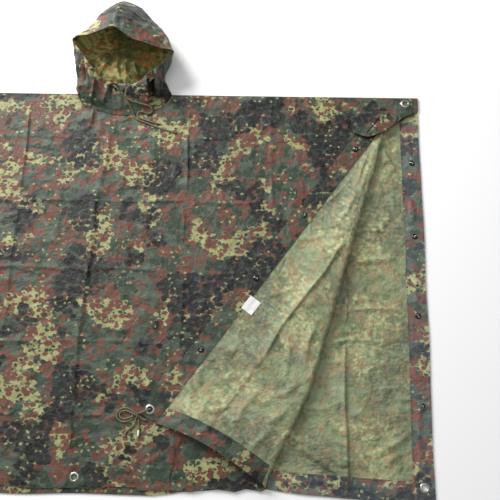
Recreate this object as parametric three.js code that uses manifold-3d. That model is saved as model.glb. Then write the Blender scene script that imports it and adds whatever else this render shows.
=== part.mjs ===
// Rain poncho laid out on a flat surface. Millimetres, +Z up, +Y from the hem to the hood.
// The back panel lies on the surface, inner side up. The front panel lies on it, and its right
// side is turned back over itself. The hood lies past the shoulder line, its mouth upwards.
// Panel places are measured from the middle of the shoulder line: across to the right, down to the hem.
import * as THREE from 'three';
import { mergeVertices } from 'three/addons/utils/BufferGeometryUtils.js';
import Module from 'manifold-3d';

const wasm = await Module();
wasm.setup();

// Driving dimensions
const HALF_WIDTH = 765;
const BACK_LENGTH = 950;
const FRONT_LENGTH = 936;
const HOOD_REACH = 257;
const CLOTH = 2;
const TURNED_CLOTH = 1;
const GAP = 0.3;
const HEM_WIDTH = 45;
const CORD_DIAMETER = 4;
const CORD_SIDES = 8;
const CORD_STEP = 2.2;
const EYELET = { outer: 11, barrel: 7, bore: 6, flange: 1.2, sides: 16 };
const CORD_EYELET = { outer: 5.5, barrel: 0, bore: 2.7, flange: 1.2, sides: 12 };
const SNAP = { radius: 7, rim: 4.5, height: 2.4, sides: 12 };

// Heights of the middle of each layer of cloth
const BACK_MID = CLOTH / 2;
const FRONT_MID = BACK_MID + CLOTH + GAP;
const FLAP_MID = FRONT_MID + CLOTH + 2 * GAP;

// The turned-back edge of the front: its outer line, and the radius of the roll there
const FOLD = [
  { down: 99, across: 677, roll: 3.5 },
  { down: 179, across: 656, roll: 6 },
  { down: 287, across: 625, roll: 9 },
  { down: 381, across: 597, roll: 11 },
  { down: 490, across: 568, roll: 11 },
  { down: 583, across: 539, roll: 9 },
  { down: 707, across: 503, roll: 9 },
  { down: 784, across: 470, roll: 8 },
  { down: 896, across: 414, roll: 7 },
  { down: FRONT_LENGTH, across: 398, roll: 7 },
];

// The front's right edge above the fold, round the shoulder corner
const CORNER_EDGE = [
  { down: 3.5, across: HALF_WIDTH },
  { down: 38, across: HALF_WIDTH },
  { down: 59, across: 724 },
  { down: 99, across: 669 },
];

// The turned-back hem edge of the front, from the shoulder to the corner with the tie cord
const FLAP_TOP = new THREE.Vector2(602, -112);
const FLAP_CORNER = new THREE.Vector2(122, -777);

// The crease that wanders down the middle of the front, with the height of its ridge
const CENTRE_CREASE = [
  { down: 0, across: 0, rise: 0 },
  { down: 99, across: 2, rise: 1 },
  { down: 179, across: 3, rise: 3 },
  { down: 287, across: -16, rise: 4 },
  { down: 381, across: -14, rise: 3 },
  { down: 490, across: -21, rise: 4 },
  { down: 640, across: -30, rise: 4 },
  { down: 784, across: -28, rise: 6 },
  { down: 850, across: -24, rise: 6 },
  { down: 896, across: -24, rise: 0 },
  { down: FRONT_LENGTH, across: -24, rise: 0 },
];
const CREASE_HALF_WIDTH = 16;

// The long crease across the turned-back side
const FLAP_CREASE = [
  { down: 412, across: 570 },
  { down: 522, across: 477 },
  { down: 626, across: 419 },
  { down: 690, across: 375 },
];
const FLAP_CREASE_RISE = 8;
const FLAP_CREASE_WIDTH = 34;
const FLAP_HEM_WIDTH = 42;

// Neck openings, left to right: how far each panel's top edge dips under the hood
const FRONT_NECK = [
  { across: -85, dip: 0 },
  { across: -81, dip: 15 },
  { across: -68, dip: 29 },
  { across: -42, dip: 36 },
  { across: -16, dip: 41 },
  { across: 0, dip: 45 },
  { across: 16, dip: 48 },
  { across: 42, dip: 49 },
  { across: 68, dip: 46 },
  { across: 94, dip: 38 },
  { across: 118, dip: 33 },
  { across: 138, dip: 28 },
  { across: 147, dip: 15 },
  { across: 151, dip: 0 },
];
const BACK_NECK = [
  { across: -85, dip: 0 },
  { across: -82, dip: 11 },
  { across: -66, dip: 14 },
  { across: 132, dip: 14 },
  { across: 148, dip: 11 },
  { across: 151, dip: 0 },
];

// Sections of the hood, round the mouth from the crown to the left, the chin and the right.
// rim is the mouth's edge, belly the widest place, foot where the hood meets the surface.
// bow lifts the cloth between rim and belly. A throat section has no foot: it ends on the front.
const HOOD_SECTIONS = [
  { rim: [15, 128, 105], belly: [13, 256, 20], foot: [14, 250], bow: 20 },
  { rim: [-15, 121, 98], belly: [-31, 219, 28], foot: [-27, 212], bow: 16 },
  { rim: [-49, 115, 85], belly: [-50, 178, 38], foot: [-43, 172], bow: 10 },
  { rim: [-75, 118, 72], belly: [-77, 143, 40], foot: [-65, 140], bow: 6 },
  { rim: [-89, 108, 63], belly: [-95, 109, 35], foot: [-84, 107], bow: 3 },
  { rim: [-66, 81, 64], belly: [-90, 76, 34], foot: [-80, 76], bow: 6 },
  { rim: [-50, 56, 60], belly: [-85, 50, 36], foot: [-76, 48], bow: 7 },
  { rim: [-35, 39, 55], belly: [-81, 28, 24], foot: [-75, 26], bow: 8 },
  { rim: [-25, 24, 46], belly: [-80, 9, 10], foot: [-77, 6], bow: 8 },
  { rim: [-10, 20, 40], belly: [-58, -20, 13], throat: [-62, -35], bow: 5, neck: [-64, -11] },
  { rim: [14, 14, 34], belly: [-13, -36, 12], throat: [-20, -49], bow: 4, neck: [-22, -13.7] },
  { rim: [46, 14, 30], belly: [36, -44, 12], throat: [36, -58], bow: 4, neck: [34, -13.7] },
  { rim: [71, 18, 34], belly: [86, -36, 13], throat: [92, -49], bow: 5, neck: [90, -13.7] },
  { rim: [87, 26, 44], belly: [122, -20, 15], throat: [129, -35], bow: 6, neck: [130, -11] },
  { rim: [100, 33, 52], belly: [141, 9, 12], foot: [143, 6], bow: 7 },
  { rim: [122, 45, 62], belly: [141, 32, 27], foot: [138, 29], bow: 5 },
  { rim: [138, 57, 68], belly: [145, 57, 41], foot: [137, 56], bow: 3 },
  { rim: [152, 77, 74], belly: [158, 83, 47], foot: [146, 84], bow: 2 },
  { rim: [129, 80, 84], belly: [149, 112, 54], foot: [138, 112], bow: 8 },
  { rim: [96, 90, 94], belly: [126, 156, 44], foot: [117, 152], bow: 12 },
  { rim: [65, 97, 100], belly: [102, 184, 38], foot: [94, 181], bow: 16 },
  { rim: [41, 113, 104], belly: [62, 234, 26], foot: [57, 228], bow: 20 },
];
const HOOD_MIDDLE = [34, 100];
const THROAT_HEIGHT = FRONT_MID + CLOTH + 2.2 * GAP;
const CASING_WIDTH = 20;

// The hood cords come out through two small eyelets at the chin, placed by section
const CORD_EXITS = { left: 10.15, right: 11.3 };
const CORD_EXIT_DROP = 9;

// Small pieces on the panels
const BACK_SNAPS = [174, 359, 547, 748];
const FLAP_SNAPS = [0.045, 0.29, 0.52, 0.77];
const LEFT_SNAPS = [174, 359, 547, 748];
const LABEL = { along: 0.599, width: 29, height: 36, lap: 5.5 };

// Cords, each as the points of its route from where it comes out to its end
const HOOD_CORDS = {
  left: [
    [14.5, 5.6, 34.2], [15, 4.6, 37.6], [17.8, 1.4, 40.4], [22.5, -3.5, 39.4], [27.5, -9, 35.6],
    [32.5, -14.5, 31.4], [38, -20.5, 27.5], [44, -28, 23.9], [49.5, -36, 20], [54, -43, 16.1],
    [58, -51, 11.7], [61.5, -59.5, 7.8], [67.5, -67.5, 6.8], [77.5, -73, 6.8], [91, -78, 6.8],
    [107, -84.5, 6.8], [132, -94, 6.8], [156, -101, 6.8], [168, -104, 6.8],
  ],
  right: [
    [53.1, 6, 32.1], [52.6, 5.4, 35.4], [50, 3, 38.4], [46, -1.5, 38.2], [42.8, -7, 34.8],
    [41.6, -13, 31], [43.2, -18.8, 28.3], [48, -24, 25.8], [55, -27.8, 24], [65, -30.5, 22.5],
    [76, -33, 20.1], [88, -35, 17.7], [97, -36.7, 15.3], [104, -41, 12], [106, -48, 8],
    [101, -53.3, 7.2], [92, -53, 7.8], [82, -50.5, 9.9], [75, -51.5, 10.1], [70.2, -56, 8],
    [70.6, -62, 6.9], [76, -65.8, 6.8], [84, -68.5, 6.8], [92, -71.5, 6.8], [105, -76, 6.8],
    [117, -79.3, 6.8], [129, -81.5, 6.8],
  ],
};
const TIE_KNOT = { place: [117, -781, 9], radii: [6.2, 6.2, 4.3] };
const TIE_CORDS = {
  neck: [
    [147, -767.4, 7.4], [146.7, -767.6, 11], [144, -768.6, 14], [139, -770.5, 14.8],
    [133, -773, 13.4], [128, -775.2, 12], [123, -777.4, 10.8],
  ],
  wrap: [[123.6, -784, 7.4], [127, -787.8, 6.9], [132, -790.2, 6.7], [138, -792, 6.7]],
  loop_outer: [
    [111.4, -776.8, 7.2], [105, -771.5, 6.8], [97, -767.8, 6.7], [88.9, -766.8, 6.7],
    [79, -770.3, 6.7], [73, -778.5, 6.7], [73.6, -788, 6.7], [81, -794.8, 6.7], [91, -796.4, 6.7],
    [101.5, -793.2, 6.7], [111, -787.4, 7],
  ],
  loop_inner: [
    [109.8, -780, 10.6], [104, -776.4, 8.8], [96, -773.2, 7.6], [88, -772.6, 6.8], [81, -775, 6.7],
    [78.4, -781, 6.7], [80.8, -787, 6.7], [87.2, -790.4, 6.7], [95.5, -789.4, 7], [103, -786.4, 8],
    [109.9, -783.6, 9.6],
  ],
  end_plain: [
    [115, -788.2, 7], [114.6, -793, 6.7], [112.6, -800.8, 6.7], [109, -806, 6.7], [104, -810.4, 6.7],
    [98.6, -815, 6.7], [94.4, -820.4, 6.7], [92.1, -825.9, 6.7],
  ],
  end_tipped: [
    [120.4, -787.8, 7], [121.2, -792, 6.7], [122.2, -800.6, 6.7], [122.6, -807, 6.7], [122.6, -813, 6.7],
  ],
};
const TIP = { radius: 2.3, length: 13 };

const COLOURS = { outer: 0x4e5540, inner: 0x7d8058, cord: 0x8f8c72, steel: 0xb9b9b6, snap: 0x55575a, label: 0xe9ebe8 };

const poncho = new THREE.Group();
poncho.position.y = (BACK_LENGTH - HOOD_REACH) / 2;

function material(colour, roughness, metalness) {
  return new THREE.MeshStandardMaterial({ color: colour, roughness, metalness });
}

function addMesh(name, geometry, finish) {
  const mesh = new THREE.Mesh(geometry, finish);
  mesh.name = name;
  poncho.add(mesh);
  return mesh;
}

// A value read off a table by its down or across column, straight between the rows
function readTable(table, key, place, column) {
  if (place <= table[0][key]) {
    return table[0][column];
  }
  for (let i = 1; i < table.length; i += 1) {
    if (place <= table[i][key]) {
      const before = table[i - 1];
      const share = (place - before[key]) / (table[i][key] - before[key]);
      return THREE.MathUtils.lerp(before[column], table[i][column], share);
    }
  }
  return table[table.length - 1][column];
}

function spread(from, to, steps) {
  return Array.from({ length: steps + 1 }, (_, i) => from + ((to - from) * i) / steps);
}

// Triangles of a grid of rows, each row a list of point numbers, with null where there is no cloth
function gridFaces(rows) {
  const faces = [];
  for (let j = 0; j + 1 < rows.length; j += 1) {
    for (let i = 0; i + 1 < rows[j].length; i += 1) {
      const corners = [rows[j][i], rows[j][i + 1], rows[j + 1][i + 1], rows[j + 1][i]];
      if (corners.every((corner) => corner !== null && corner !== undefined)) {
        faces.push([corners[0], corners[3], corners[2]], [corners[0], corners[2], corners[1]]);
      }
    }
  }
  return faces;
}

function cornerNormals(points, faces) {
  const normals = points.map(() => new THREE.Vector3());
  for (const [a, b, c] of faces) {
    const side = points[b].clone().sub(points[a]);
    const normal = side.cross(points[c].clone().sub(points[a]));
    for (const corner of [a, b, c]) {
      normals[corner].add(normal);
    }
  }
  return normals.map((normal) => normal.normalize());
}

// Cloth between two offsets from a surface, with walls round its open edges
function clothBetween(points, faces, below, above, normals = cornerNormals(points, faces)) {
  const shift = (offset) => points.map((point, i) => point.clone().addScaledVector(normals[i], offset));
  const upper = shift(above);
  const lower = shift(below);
  const count = points.length;
  const triangles = [];
  const edges = new Map();
  for (const [a, b, c] of faces) {
    triangles.push(a, b, c, a + count, c + count, b + count);
    for (const [from, to] of [[a, b], [b, c], [c, a]]) {
      if (edges.has(`${to},${from}`)) {
        edges.delete(`${to},${from}`);
      } else {
        edges.set(`${from},${to}`, [from, to]);
      }
    }
  }
  for (const [from, to] of edges.values()) {
    triangles.push(from, from + count, to + count, from, to + count, to);
  }
  const geometry = new THREE.BufferGeometry();
  const coordinates = [...upper, ...lower].flatMap((point) => [point.x, point.y, point.z]);
  geometry.setAttribute('position', new THREE.Float32BufferAttribute(coordinates, 3));
  geometry.setIndex(triangles);
  return geometry;
}

// A hem or casing on part of a surface: only the points that its faces use, along the whole surface's normals
function clothPatch(surface, faces, below, above) {
  const normals = cornerNormals(surface.points, surface.faces);
  const used = [...new Set(faces.flat())];
  const order = new Map(used.map((corner, i) => [corner, i]));
  const ownFaces = faces.map((face) => face.map((corner) => order.get(corner)));
  const pick = (list) => used.map((corner) => list[corner]);
  return clothBetween(pick(surface.points), ownFaces, below, above, pick(normals));
}

function toSolid(geometry) {
  const bare = geometry.clone();
  bare.deleteAttribute('normal');
  bare.deleteAttribute('uv');
  const merged = mergeVertices(bare, 1e-4);
  const mesh = new wasm.Mesh({
    numProp: 3,
    vertProperties: new Float32Array(merged.attributes.position.array),
    triVerts: new Uint32Array(merged.index.array),
  });
  return new wasm.Manifold(mesh);
}

function fromSolid(solid) {
  const { vertProperties, triVerts } = solid.getMesh();
  const geometry = new THREE.BufferGeometry();
  geometry.setAttribute('position', new THREE.Float32BufferAttribute(vertProperties, 3));
  geometry.setIndex(Array.from(triVerts));
  return geometry;
}

// An upright round cut through cloth, for an eyelet's barrel
function cutHole(geometry, centre, low, high) {
  const radius = EYELET.barrel + GAP;
  const drill = new THREE.CylinderGeometry(radius, radius, high - low, EYELET.sides);
  drill.rotateX(Math.PI / 2);
  drill.translate(centre.x, centre.y, (low + high) / 2);
  return fromSolid(toSolid(geometry).subtract(toSolid(drill)));
}

// A grid of points with its numbering, filled a row at a time
class Grid {
  constructor() {
    this.points = [];
    this.rows = [];
  }

  addRow(row) {
    this.rows.push(row.map((point) => {
      if (!point) {
        return null;
      }
      this.points.push(point);
      return this.points.length - 1;
    }));
  }
}

// Back panel

function backTop(across) {
  const inNeck = across > BACK_NECK[0].across && across < BACK_NECK[BACK_NECK.length - 1].across;
  const edge = CLOTH + 2 * GAP;
  return inNeck ? -Math.max(edge, readTable(BACK_NECK, 'across', across, 'dip')) : -edge;
}

const BACK_CORNER_EYELET = new THREE.Vector2(HALF_WIDTH - 21, -(BACK_LENGTH - 31));

function backPanel() {
  const grid = new Grid();
  const columns = [
    ...spread(-HALF_WIDTH, -200, 4),
    ...BACK_NECK.map((row) => row.across),
    ...spread(260, HALF_WIDTH - HEM_WIDTH, 4),
    HALF_WIDTH,
  ];
  const drops = [30, 60, 180, 300, 420, 540, 660, 780, BACK_LENGTH - HEM_WIDTH, BACK_LENGTH];
  grid.addRow(columns.map((across) => new THREE.Vector3(across, backTop(across), BACK_MID)));
  for (const down of drops) {
    grid.addRow(columns.map((across) => new THREE.Vector3(across, -down, BACK_MID)));
  }
  const cloth = clothBetween(grid.points, gridFaces(grid.rows), -CLOTH / 2, CLOTH / 2);
  return cutHole(cloth, BACK_CORNER_EYELET, -CLOTH, 2 * CLOTH);
}

// A hem turned onto the back panel's inner side
function backHem(corners, alongSteps) {
  const grid = new Grid();
  const [startLeft, startRight, endRight, endLeft] = corners.map(([x, y]) => new THREE.Vector3(x, y, CLOTH));
  for (const share of spread(0, 1, alongSteps)) {
    grid.addRow([
      startLeft.clone().lerp(endLeft, share),
      startRight.clone().lerp(endRight, share),
    ]);
  }
  return clothBetween(grid.points, gridFaces(grid.rows), GAP, GAP + TURNED_CLOTH);
}

// Front panel: a plain part down to the fold, a roll, and the turned-back side beyond it

const FOLD_SLANT = new THREE.Vector2(FOLD[0].across - 398, 837).normalize();
const FOLD_OUTWARD = new THREE.Vector2(FOLD_SLANT.y, -FOLD_SLANT.x);
const FOLD_START = FOLD[0].down;
const ROLL_WIND = 20;
const ROLL_STEPS = 5;
const FLAP_STEPS = [0.12, 0.28, 0.46, 0.64];

function creaseRise(across, down) {
  let nearest = Infinity;
  const place = new THREE.Vector3(across, -down, 0);
  for (let i = 0; i + 1 < FLAP_CREASE.length; i += 1) {
    const from = new THREE.Vector3(FLAP_CREASE[i].across, -FLAP_CREASE[i].down, 0);
    const to = new THREE.Vector3(FLAP_CREASE[i + 1].across, -FLAP_CREASE[i + 1].down, 0);
    const closest = new THREE.Line3(from, to).closestPointToPoint(place, true, new THREE.Vector3());
    nearest = Math.min(nearest, closest.distanceTo(place));
  }
  return FLAP_CREASE_RISE * Math.exp(-((nearest / FLAP_CREASE_WIDTH) ** 2));
}

// The roll's lower line at a drop, where the plain part of the front ends
function rollStart(down) {
  const roll = readTable(FOLD, 'down', down, 'roll');
  const reach = (roll + CLOTH / 2) / FOLD_OUTWARD.x;
  return new THREE.Vector2(readTable(FOLD, 'down', down, 'across') - reach, -down);
}

// The roll winds up the fold line a little as it turns, more towards the hem
function rollPoint(down, share) {
  const roll = readTable(FOLD, 'down', down, 'roll');
  const turn = -Math.PI / 2 + Math.PI * share;
  const centre = rollStart(down);
  const out = roll * Math.cos(turn);
  const along = (down - FOLD_START) / (FRONT_LENGTH - FOLD_START);
  const wind = ROLL_WIND * along * along * share;
  return new THREE.Vector3(
    centre.x + FOLD_OUTWARD.x * out + FOLD_SLANT.x * wind,
    centre.y + FOLD_OUTWARD.y * out + FOLD_SLANT.y * wind,
    FRONT_MID + roll + roll * Math.sin(turn),
  );
}

// A point of the turned-back side: along runs from the shoulder to the corner,
// across from the roll, 0, to the hem edge, 1
function flapPoint(along, across) {
  const down = THREE.MathUtils.lerp(FOLD_START, FRONT_LENGTH, along);
  const top = rollPoint(down, 1);
  const edge = FLAP_TOP.clone().lerp(FLAP_CORNER, along);
  const x = THREE.MathUtils.lerp(top.x, edge.x, across);
  const y = THREE.MathUtils.lerp(top.y, edge.y, across);
  const fall = THREE.MathUtils.smoothstep(across, 0, Math.min(0.62, 0.9 * flapHemLine(along)));
  const settled = Math.min(1, 4 * across, 2.5 * (1 - across));
  const crease = creaseRise(x, -y) * Math.max(0, settled);
  return new THREE.Vector3(x, y, THREE.MathUtils.lerp(top.z, FLAP_MID, fall) + crease);
}

// Where the hem's inner line crosses a row of the turned-back side
function flapHemLine(along) {
  const down = THREE.MathUtils.lerp(FOLD_START, FRONT_LENGTH, along);
  const top = rollPoint(down, 1);
  const edge = FLAP_TOP.clone().lerp(FLAP_CORNER, along);
  const row = new THREE.Vector2(edge.x - top.x, edge.y - top.y);
  const side = FLAP_CORNER.clone().sub(FLAP_TOP).normalize();
  const square = Math.abs(row.cross(side));
  return 1 - FLAP_HEM_WIDTH / square;
}

function frontTop(across) {
  const inNeck = across > FRONT_NECK[0].across && across < FRONT_NECK[FRONT_NECK.length - 1].across;
  return inNeck ? readTable(FRONT_NECK, 'across', across, 'dip') : 0;
}

const FRONT_MIDDLE_EYELET = new THREE.Vector2(-11, -(FRONT_LENGTH - 21));
const FRONT_LEFT_EYELET = new THREE.Vector2(-(HALF_WIDTH - 21), -(FRONT_LENGTH - 21));
const SHOULDER_EYELETS = [new THREE.Vector2(734, -16), new THREE.Vector2(-734, -16)];

function flapCornerEyelet() {
  const towardsTop = FLAP_TOP.clone().sub(FLAP_CORNER).normalize();
  const foldEnd = rollPoint(FRONT_LENGTH, 1);
  const towardsFold = new THREE.Vector2(foldEnd.x, foldEnd.y).sub(FLAP_CORNER).normalize();
  return FLAP_CORNER.clone().addScaledVector(towardsTop, 19).addScaledVector(towardsFold, 13.5);
}

const FRONT_DROPS = [30, 62, 99, 139, 179, 233, 287, 334, 381, 435, 490, 536, 583, 645, 707, 784, 850, 896];

function frontPanel() {
  const grid = new Grid();
  const leftOfNeck = spread(-HALF_WIDTH, -180, 4);
  const neck = FRONT_NECK.map((row) => row.across);
  const shoulderColumns = [...leftOfNeck, ...neck, 200, 260, 320];
  const rightShares = [0.25, 0.5, 0.75, 1];
  const limit = 320;
  const flapRows = [];

  const edgeAt = (down) => {
    if (down < FOLD_START) {
      return readTable(CORNER_EDGE, 'down', down, 'across');
    }
    return rollStart(down).x;
  };
  const columnsAt = (down) => {
    const shift = readTable(CENTRE_CREASE, 'down', down, 'across');
    const reach = Math.min(limit, edgeAt(down) - 40);
    const fixed = shoulderColumns.map((across) => {
      const isCentre = across >= -CREASE_HALF_WIDTH && across <= CREASE_HALF_WIDTH;
      return isCentre ? across + shift : across * (across > 200 ? reach / limit : 1);
    });
    const right = rightShares.map((share) => THREE.MathUtils.lerp(reach, edgeAt(down), share));
    return [...fixed, ...right];
  };
  const heightAt = (column, down) => {
    const onCrease = shoulderColumns[column] === 0;
    return FRONT_MID + (onCrease ? readTable(CENTRE_CREASE, 'down', down, 'rise') : 0);
  };
  const plainRow = (down) => columnsAt(down).map((x, i) => new THREE.Vector3(x, -down, heightAt(i, down)));

  // The shoulder: the front turns over the back panel's top edge, down to the surface
  const shoulderTurn = [
    { down: CLOTH / 2, height: 0 },
    { down: CLOTH / 2, height: FRONT_MID - CLOTH / 2 },
    { down: 1.6 * CLOTH, height: FRONT_MID },
  ];
  for (const step of shoulderTurn) {
    grid.addRow(columnsAt(0).map((x) => {
      const outsideNeck = x <= FRONT_NECK[0].across || x >= FRONT_NECK[FRONT_NECK.length - 1].across;
      return outsideNeck ? new THREE.Vector3(x, -step.down, step.height) : null;
    }));
  }
  // The row at the neckline is the turn's last row outside the neck, and dips inside it
  const turnEnd = grid.rows[grid.rows.length - 1];
  columnsAt(0).forEach((x, i) => {
    if (turnEnd[i] === null) {
      grid.points.push(new THREE.Vector3(x, -frontTop(x), FRONT_MID));
      turnEnd[i] = grid.points.length - 1;
    }
  });

  for (const down of [...FRONT_DROPS, FRONT_LENGTH]) {
    const row = plainRow(down).map((point, i) => {
      const dip = frontTop(shoulderColumns[i] ?? HALF_WIDTH);
      point.y = Math.min(point.y, -dip - (down === FRONT_DROPS[0] ? 10 : 0));
      return point;
    });
    if (down >= FOLD_START) {
      const along = (down - FOLD_START) / (FRONT_LENGTH - FOLD_START);
      for (const share of spread(0, 1, ROLL_STEPS).slice(1)) {
        row.push(rollPoint(down, share));
      }
      const hemLine = flapHemLine(along);
      for (const share of FLAP_STEPS) {
        row.push(flapPoint(along, share * hemLine / 0.8));
      }
      row.push(flapPoint(along, hemLine), flapPoint(along, 1));
    }
    grid.addRow(row);
    if (down >= FOLD_START) {
      flapRows.push(grid.rows[grid.rows.length - 1].slice(-(FLAP_STEPS.length + 3)));
    }
  }
  return { points: grid.points, faces: gridFaces(grid.rows), flapRows };
}

// A turned hem lies just off the face of its cloth. The turned-back side shows its inner face,
// so its hems lie on the surface's under side.
const HEM_NEAR = CLOTH / 2 + GAP;
const HEM_FAR = HEM_NEAR + TURNED_CLOTH;

function frontSideHem(panel) {
  const rows = panel.flapRows.map((row) => row.slice(-2));
  return clothPatch(panel, gridFaces(rows), -HEM_FAR, -HEM_NEAR);
}

// Along the lower edge, from the roll to the side hem's inner line
function frontBottomHem(panel) {
  const grid = new Grid();
  for (const row of panel.flapRows.slice(-2)) {
    const line = row.slice(0, -1).map((corner) => panel.points[corner].clone());
    const [before, last] = line.slice(-2);
    last.addScaledVector(before.clone().sub(last).normalize(), 2 * GAP);
    grid.addRow(line);
  }
  return clothBetween(grid.points, gridFaces(grid.rows), -HEM_FAR, -HEM_NEAR);
}

// A blank woven label, sewn over the inner edge of the side hem
function label() {
  const corner = flapPoint(LABEL.along, flapHemLine(LABEL.along));
  const side = FLAP_TOP.clone().sub(FLAP_CORNER).normalize();
  const shape = new THREE.BoxGeometry(LABEL.width, LABEL.height, TURNED_CLOTH);
  shape.rotateZ(Math.atan2(side.y, side.x) - Math.PI / 2);
  const reach = LABEL.width / 2 - LABEL.lap;
  const height = FLAP_MID + CLOTH / 2 + 2 * GAP + 1.5 * TURNED_CLOTH;
  shape.translate(corner.x + side.y * reach, corner.y - side.x * reach, height);
  return shape;
}

// The fold at the shoulder corner laps over the start of the turned-back side
const SHOULDER_FOLD = [
  { upper: [596, 40], lower: [602, 98], rise: 4 },
  { upper: [626, 40], lower: [634, 111], rise: 9 },
  { upper: [656, 39], lower: [657, 106], rise: 12 },
  { upper: [684, 37], lower: [680, 96], rise: 11 },
  { upper: [706, 36], lower: [702, 77], rise: 8 },
  { upper: [726, 35], lower: [724, 60], rise: 5 },
  { upper: [748, 36], lower: [752, 44], rise: 2 },
];

function shoulderFold() {
  const grid = new Grid();
  for (const share of spread(0, 1, 4)) {
    grid.addRow(SHOULDER_FOLD.map(({ upper, lower, rise }) => new THREE.Vector3(
      THREE.MathUtils.lerp(upper[0], lower[0], share),
      -THREE.MathUtils.lerp(upper[1], lower[1], share),
      FLAP_MID + rise * Math.sin((share * Math.PI) / 2),
    )));
  }
  return clothBetween(grid.points, gridFaces(grid.rows), -CLOTH / 2, CLOTH / 2);
}

// Hood

// A closed smooth curve through one corner of every section, read at a share of the way round
function aroundHood(read) {
  const corners = HOOD_SECTIONS.map((section) => new THREE.Vector3(...read(section)));
  return (place) => {
    const count = corners.length;
    const index = Math.floor(place);
    const share = place - index;
    const at = (i) => corners[(i + count) % count];
    const before = at(index - 1);
    const from = at(index);
    const to = at(index + 1);
    const after = at(index + 2);
    const slopeFrom = to.clone().sub(before).multiplyScalar(0.4);
    const slopeTo = after.clone().sub(from).multiplyScalar(0.4);
    const squared = share * share;
    const cubed = squared * share;
    return from.clone().multiplyScalar(2 * cubed - 3 * squared + 1)
      .addScaledVector(slopeFrom, cubed - 2 * squared + share)
      .addScaledVector(to, 3 * squared - 2 * cubed)
      .addScaledVector(slopeTo, cubed - squared);
  };
}

const rimCurve = aroundHood((section) => section.rim);
const bellyCurve = aroundHood((section) => section.belly);
const footCurve = aroundHood((section) => (
  section.throat ? [...section.throat, THROAT_HEIGHT] : [...section.foot, BACK_MID]
));
const floorCurve = aroundHood((section) => [...(section.neck ?? section.foot), BACK_MID]);
const bowCurve = aroundHood((section) => [section.bow, 0, 0]);

// A point on the outside of the hood, from the rim, 0, to the belly, 1
function hoodWall(place, share) {
  const bow = bowCurve(place).x * 4 * share * (1 - share);
  const point = rimCurve(place).lerp(bellyCurve(place), share);
  point.z += bow;
  return point;
}

function rimShare(place, width) {
  return Math.min(0.6, width / rimCurve(place).distanceTo(bellyCurve(place)));
}

const HOOD_PARTS = 2;

function hoodCloth() {
  const points = [];
  const add = (point) => points.push(point) - 1;
  const count = HOOD_SECTIONS.length * HOOD_PARTS;
  const levels = [];
  for (let i = 0; i < count; i += 1) {
    const place = i / HOOD_PARTS;
    const hem = rimShare(place, CASING_WIDTH);
    const column = [0, hem / 2, hem, hem + (1 - hem) / 3, hem + (1 - hem) / 1.5, 1].map((share) => add(hoodWall(place, share)));
    const foot = footCurve(place);
    const belly = bellyCurve(place);
    const floor = floorCurve(place);
    const ankle = belly.clone().lerp(foot, 0.6);
    ankle.x += 0.12 * (belly.x - foot.x);
    ankle.y += 0.12 * (belly.y - foot.y);
    column.push(add(ankle));
    const footIndex = add(foot);
    column.push(footIndex);
    const joined = foot.distanceTo(floor) < 0.5;
    const floorIndex = joined ? footIndex : add(floor);
    const inward = new THREE.Vector3(HOOD_MIDDLE[0], HOOD_MIDDLE[1], BACK_MID);
    const floorColumn = [floorIndex, add(floor.clone().lerp(inward, 0.5))];
    levels.push({ column, floorColumn });
  }
  const middle = add(new THREE.Vector3(HOOD_MIDDLE[0], HOOD_MIDDLE[1], BACK_MID));
  const faces = [];
  const quad = (a, b, c, d) => {
    faces.push([a, b, c], [a, c, d]);
  };
  levels.forEach((here, i) => {
    const next = levels[(i + 1) % count];
    for (let j = 0; j + 1 < here.column.length; j += 1) {
      quad(here.column[j], next.column[j], next.column[j + 1], here.column[j + 1]);
    }
    quad(here.floorColumn[0], next.floorColumn[0], next.floorColumn[1], here.floorColumn[1]);
    faces.push([here.floorColumn[1], next.floorColumn[1], middle]);
  });
  return { points, faces, levels };
}

// The casing is turned to the inside of the mouth, open between the two cord eyelets at the chin
function casingFaces(hood) {
  const faces = [];
  const chin = 11 * HOOD_PARTS;
  hood.levels.forEach((here, i) => {
    if (i === chin - HOOD_PARTS || i === chin - 1) {
      return;
    }
    const next = hood.levels[(i + 1) % hood.levels.length];
    for (let j = 0; j < 2; j += 1) {
      const [a, b, c, d] = [here.column[j], next.column[j], next.column[j + 1], here.column[j + 1]];
      faces.push([a, b, c], [a, c, d]);
    }
  });
  return faces;
}

// Eyelets, snaps and cords

function ringGeometry({ outer, barrel, bore, flange, sides }, depth) {
  const edge = flange * 0.5;
  const shank = barrel > 0 ? [[barrel, -depth], [barrel, 0]] : [];
  const profile = [
    [bore, -depth], ...shank, [outer, 0], [outer - edge, flange], [bore + edge, flange],
    [bore, flange - edge], [bore, -depth],
  ];
  const ring = new THREE.LatheGeometry(profile.map(([x, y]) => new THREE.Vector2(x, y)), sides);
  ring.rotateX(Math.PI / 2);
  return ring;
}

// An eyelet sits on the cloth, and its barrel reaches down through the hole
function addEyelet(name, place, seat, depth) {
  const mesh = addMesh(name, ringGeometry(EYELET, depth), material(COLOURS.steel, 0.3, 1));
  mesh.position.set(place.x, place.y, seat);
}

// The outward direction of the hood's wall
function hoodOutward(place, share) {
  const step = 0.05;
  const along = hoodWall(place + step, share).sub(hoodWall(place - step, share));
  const down = hoodWall(place, share + step).sub(hoodWall(place, share - step));
  return down.cross(along).normalize();
}

function addCordEyelet(name, place) {
  const share = CORD_EXIT_DROP / rimCurve(place).distanceTo(bellyCurve(place));
  const outward = hoodOutward(place, share);
  const mesh = addMesh(name, ringGeometry(CORD_EYELET, 0), material(COLOURS.steel, 0.3, 1));
  mesh.position.copy(hoodWall(place, share)).addScaledVector(outward, CLOTH / 2 + 2 * GAP);
  mesh.quaternion.setFromUnitVectors(new THREE.Vector3(0, 0, 1), outward);
}

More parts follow.
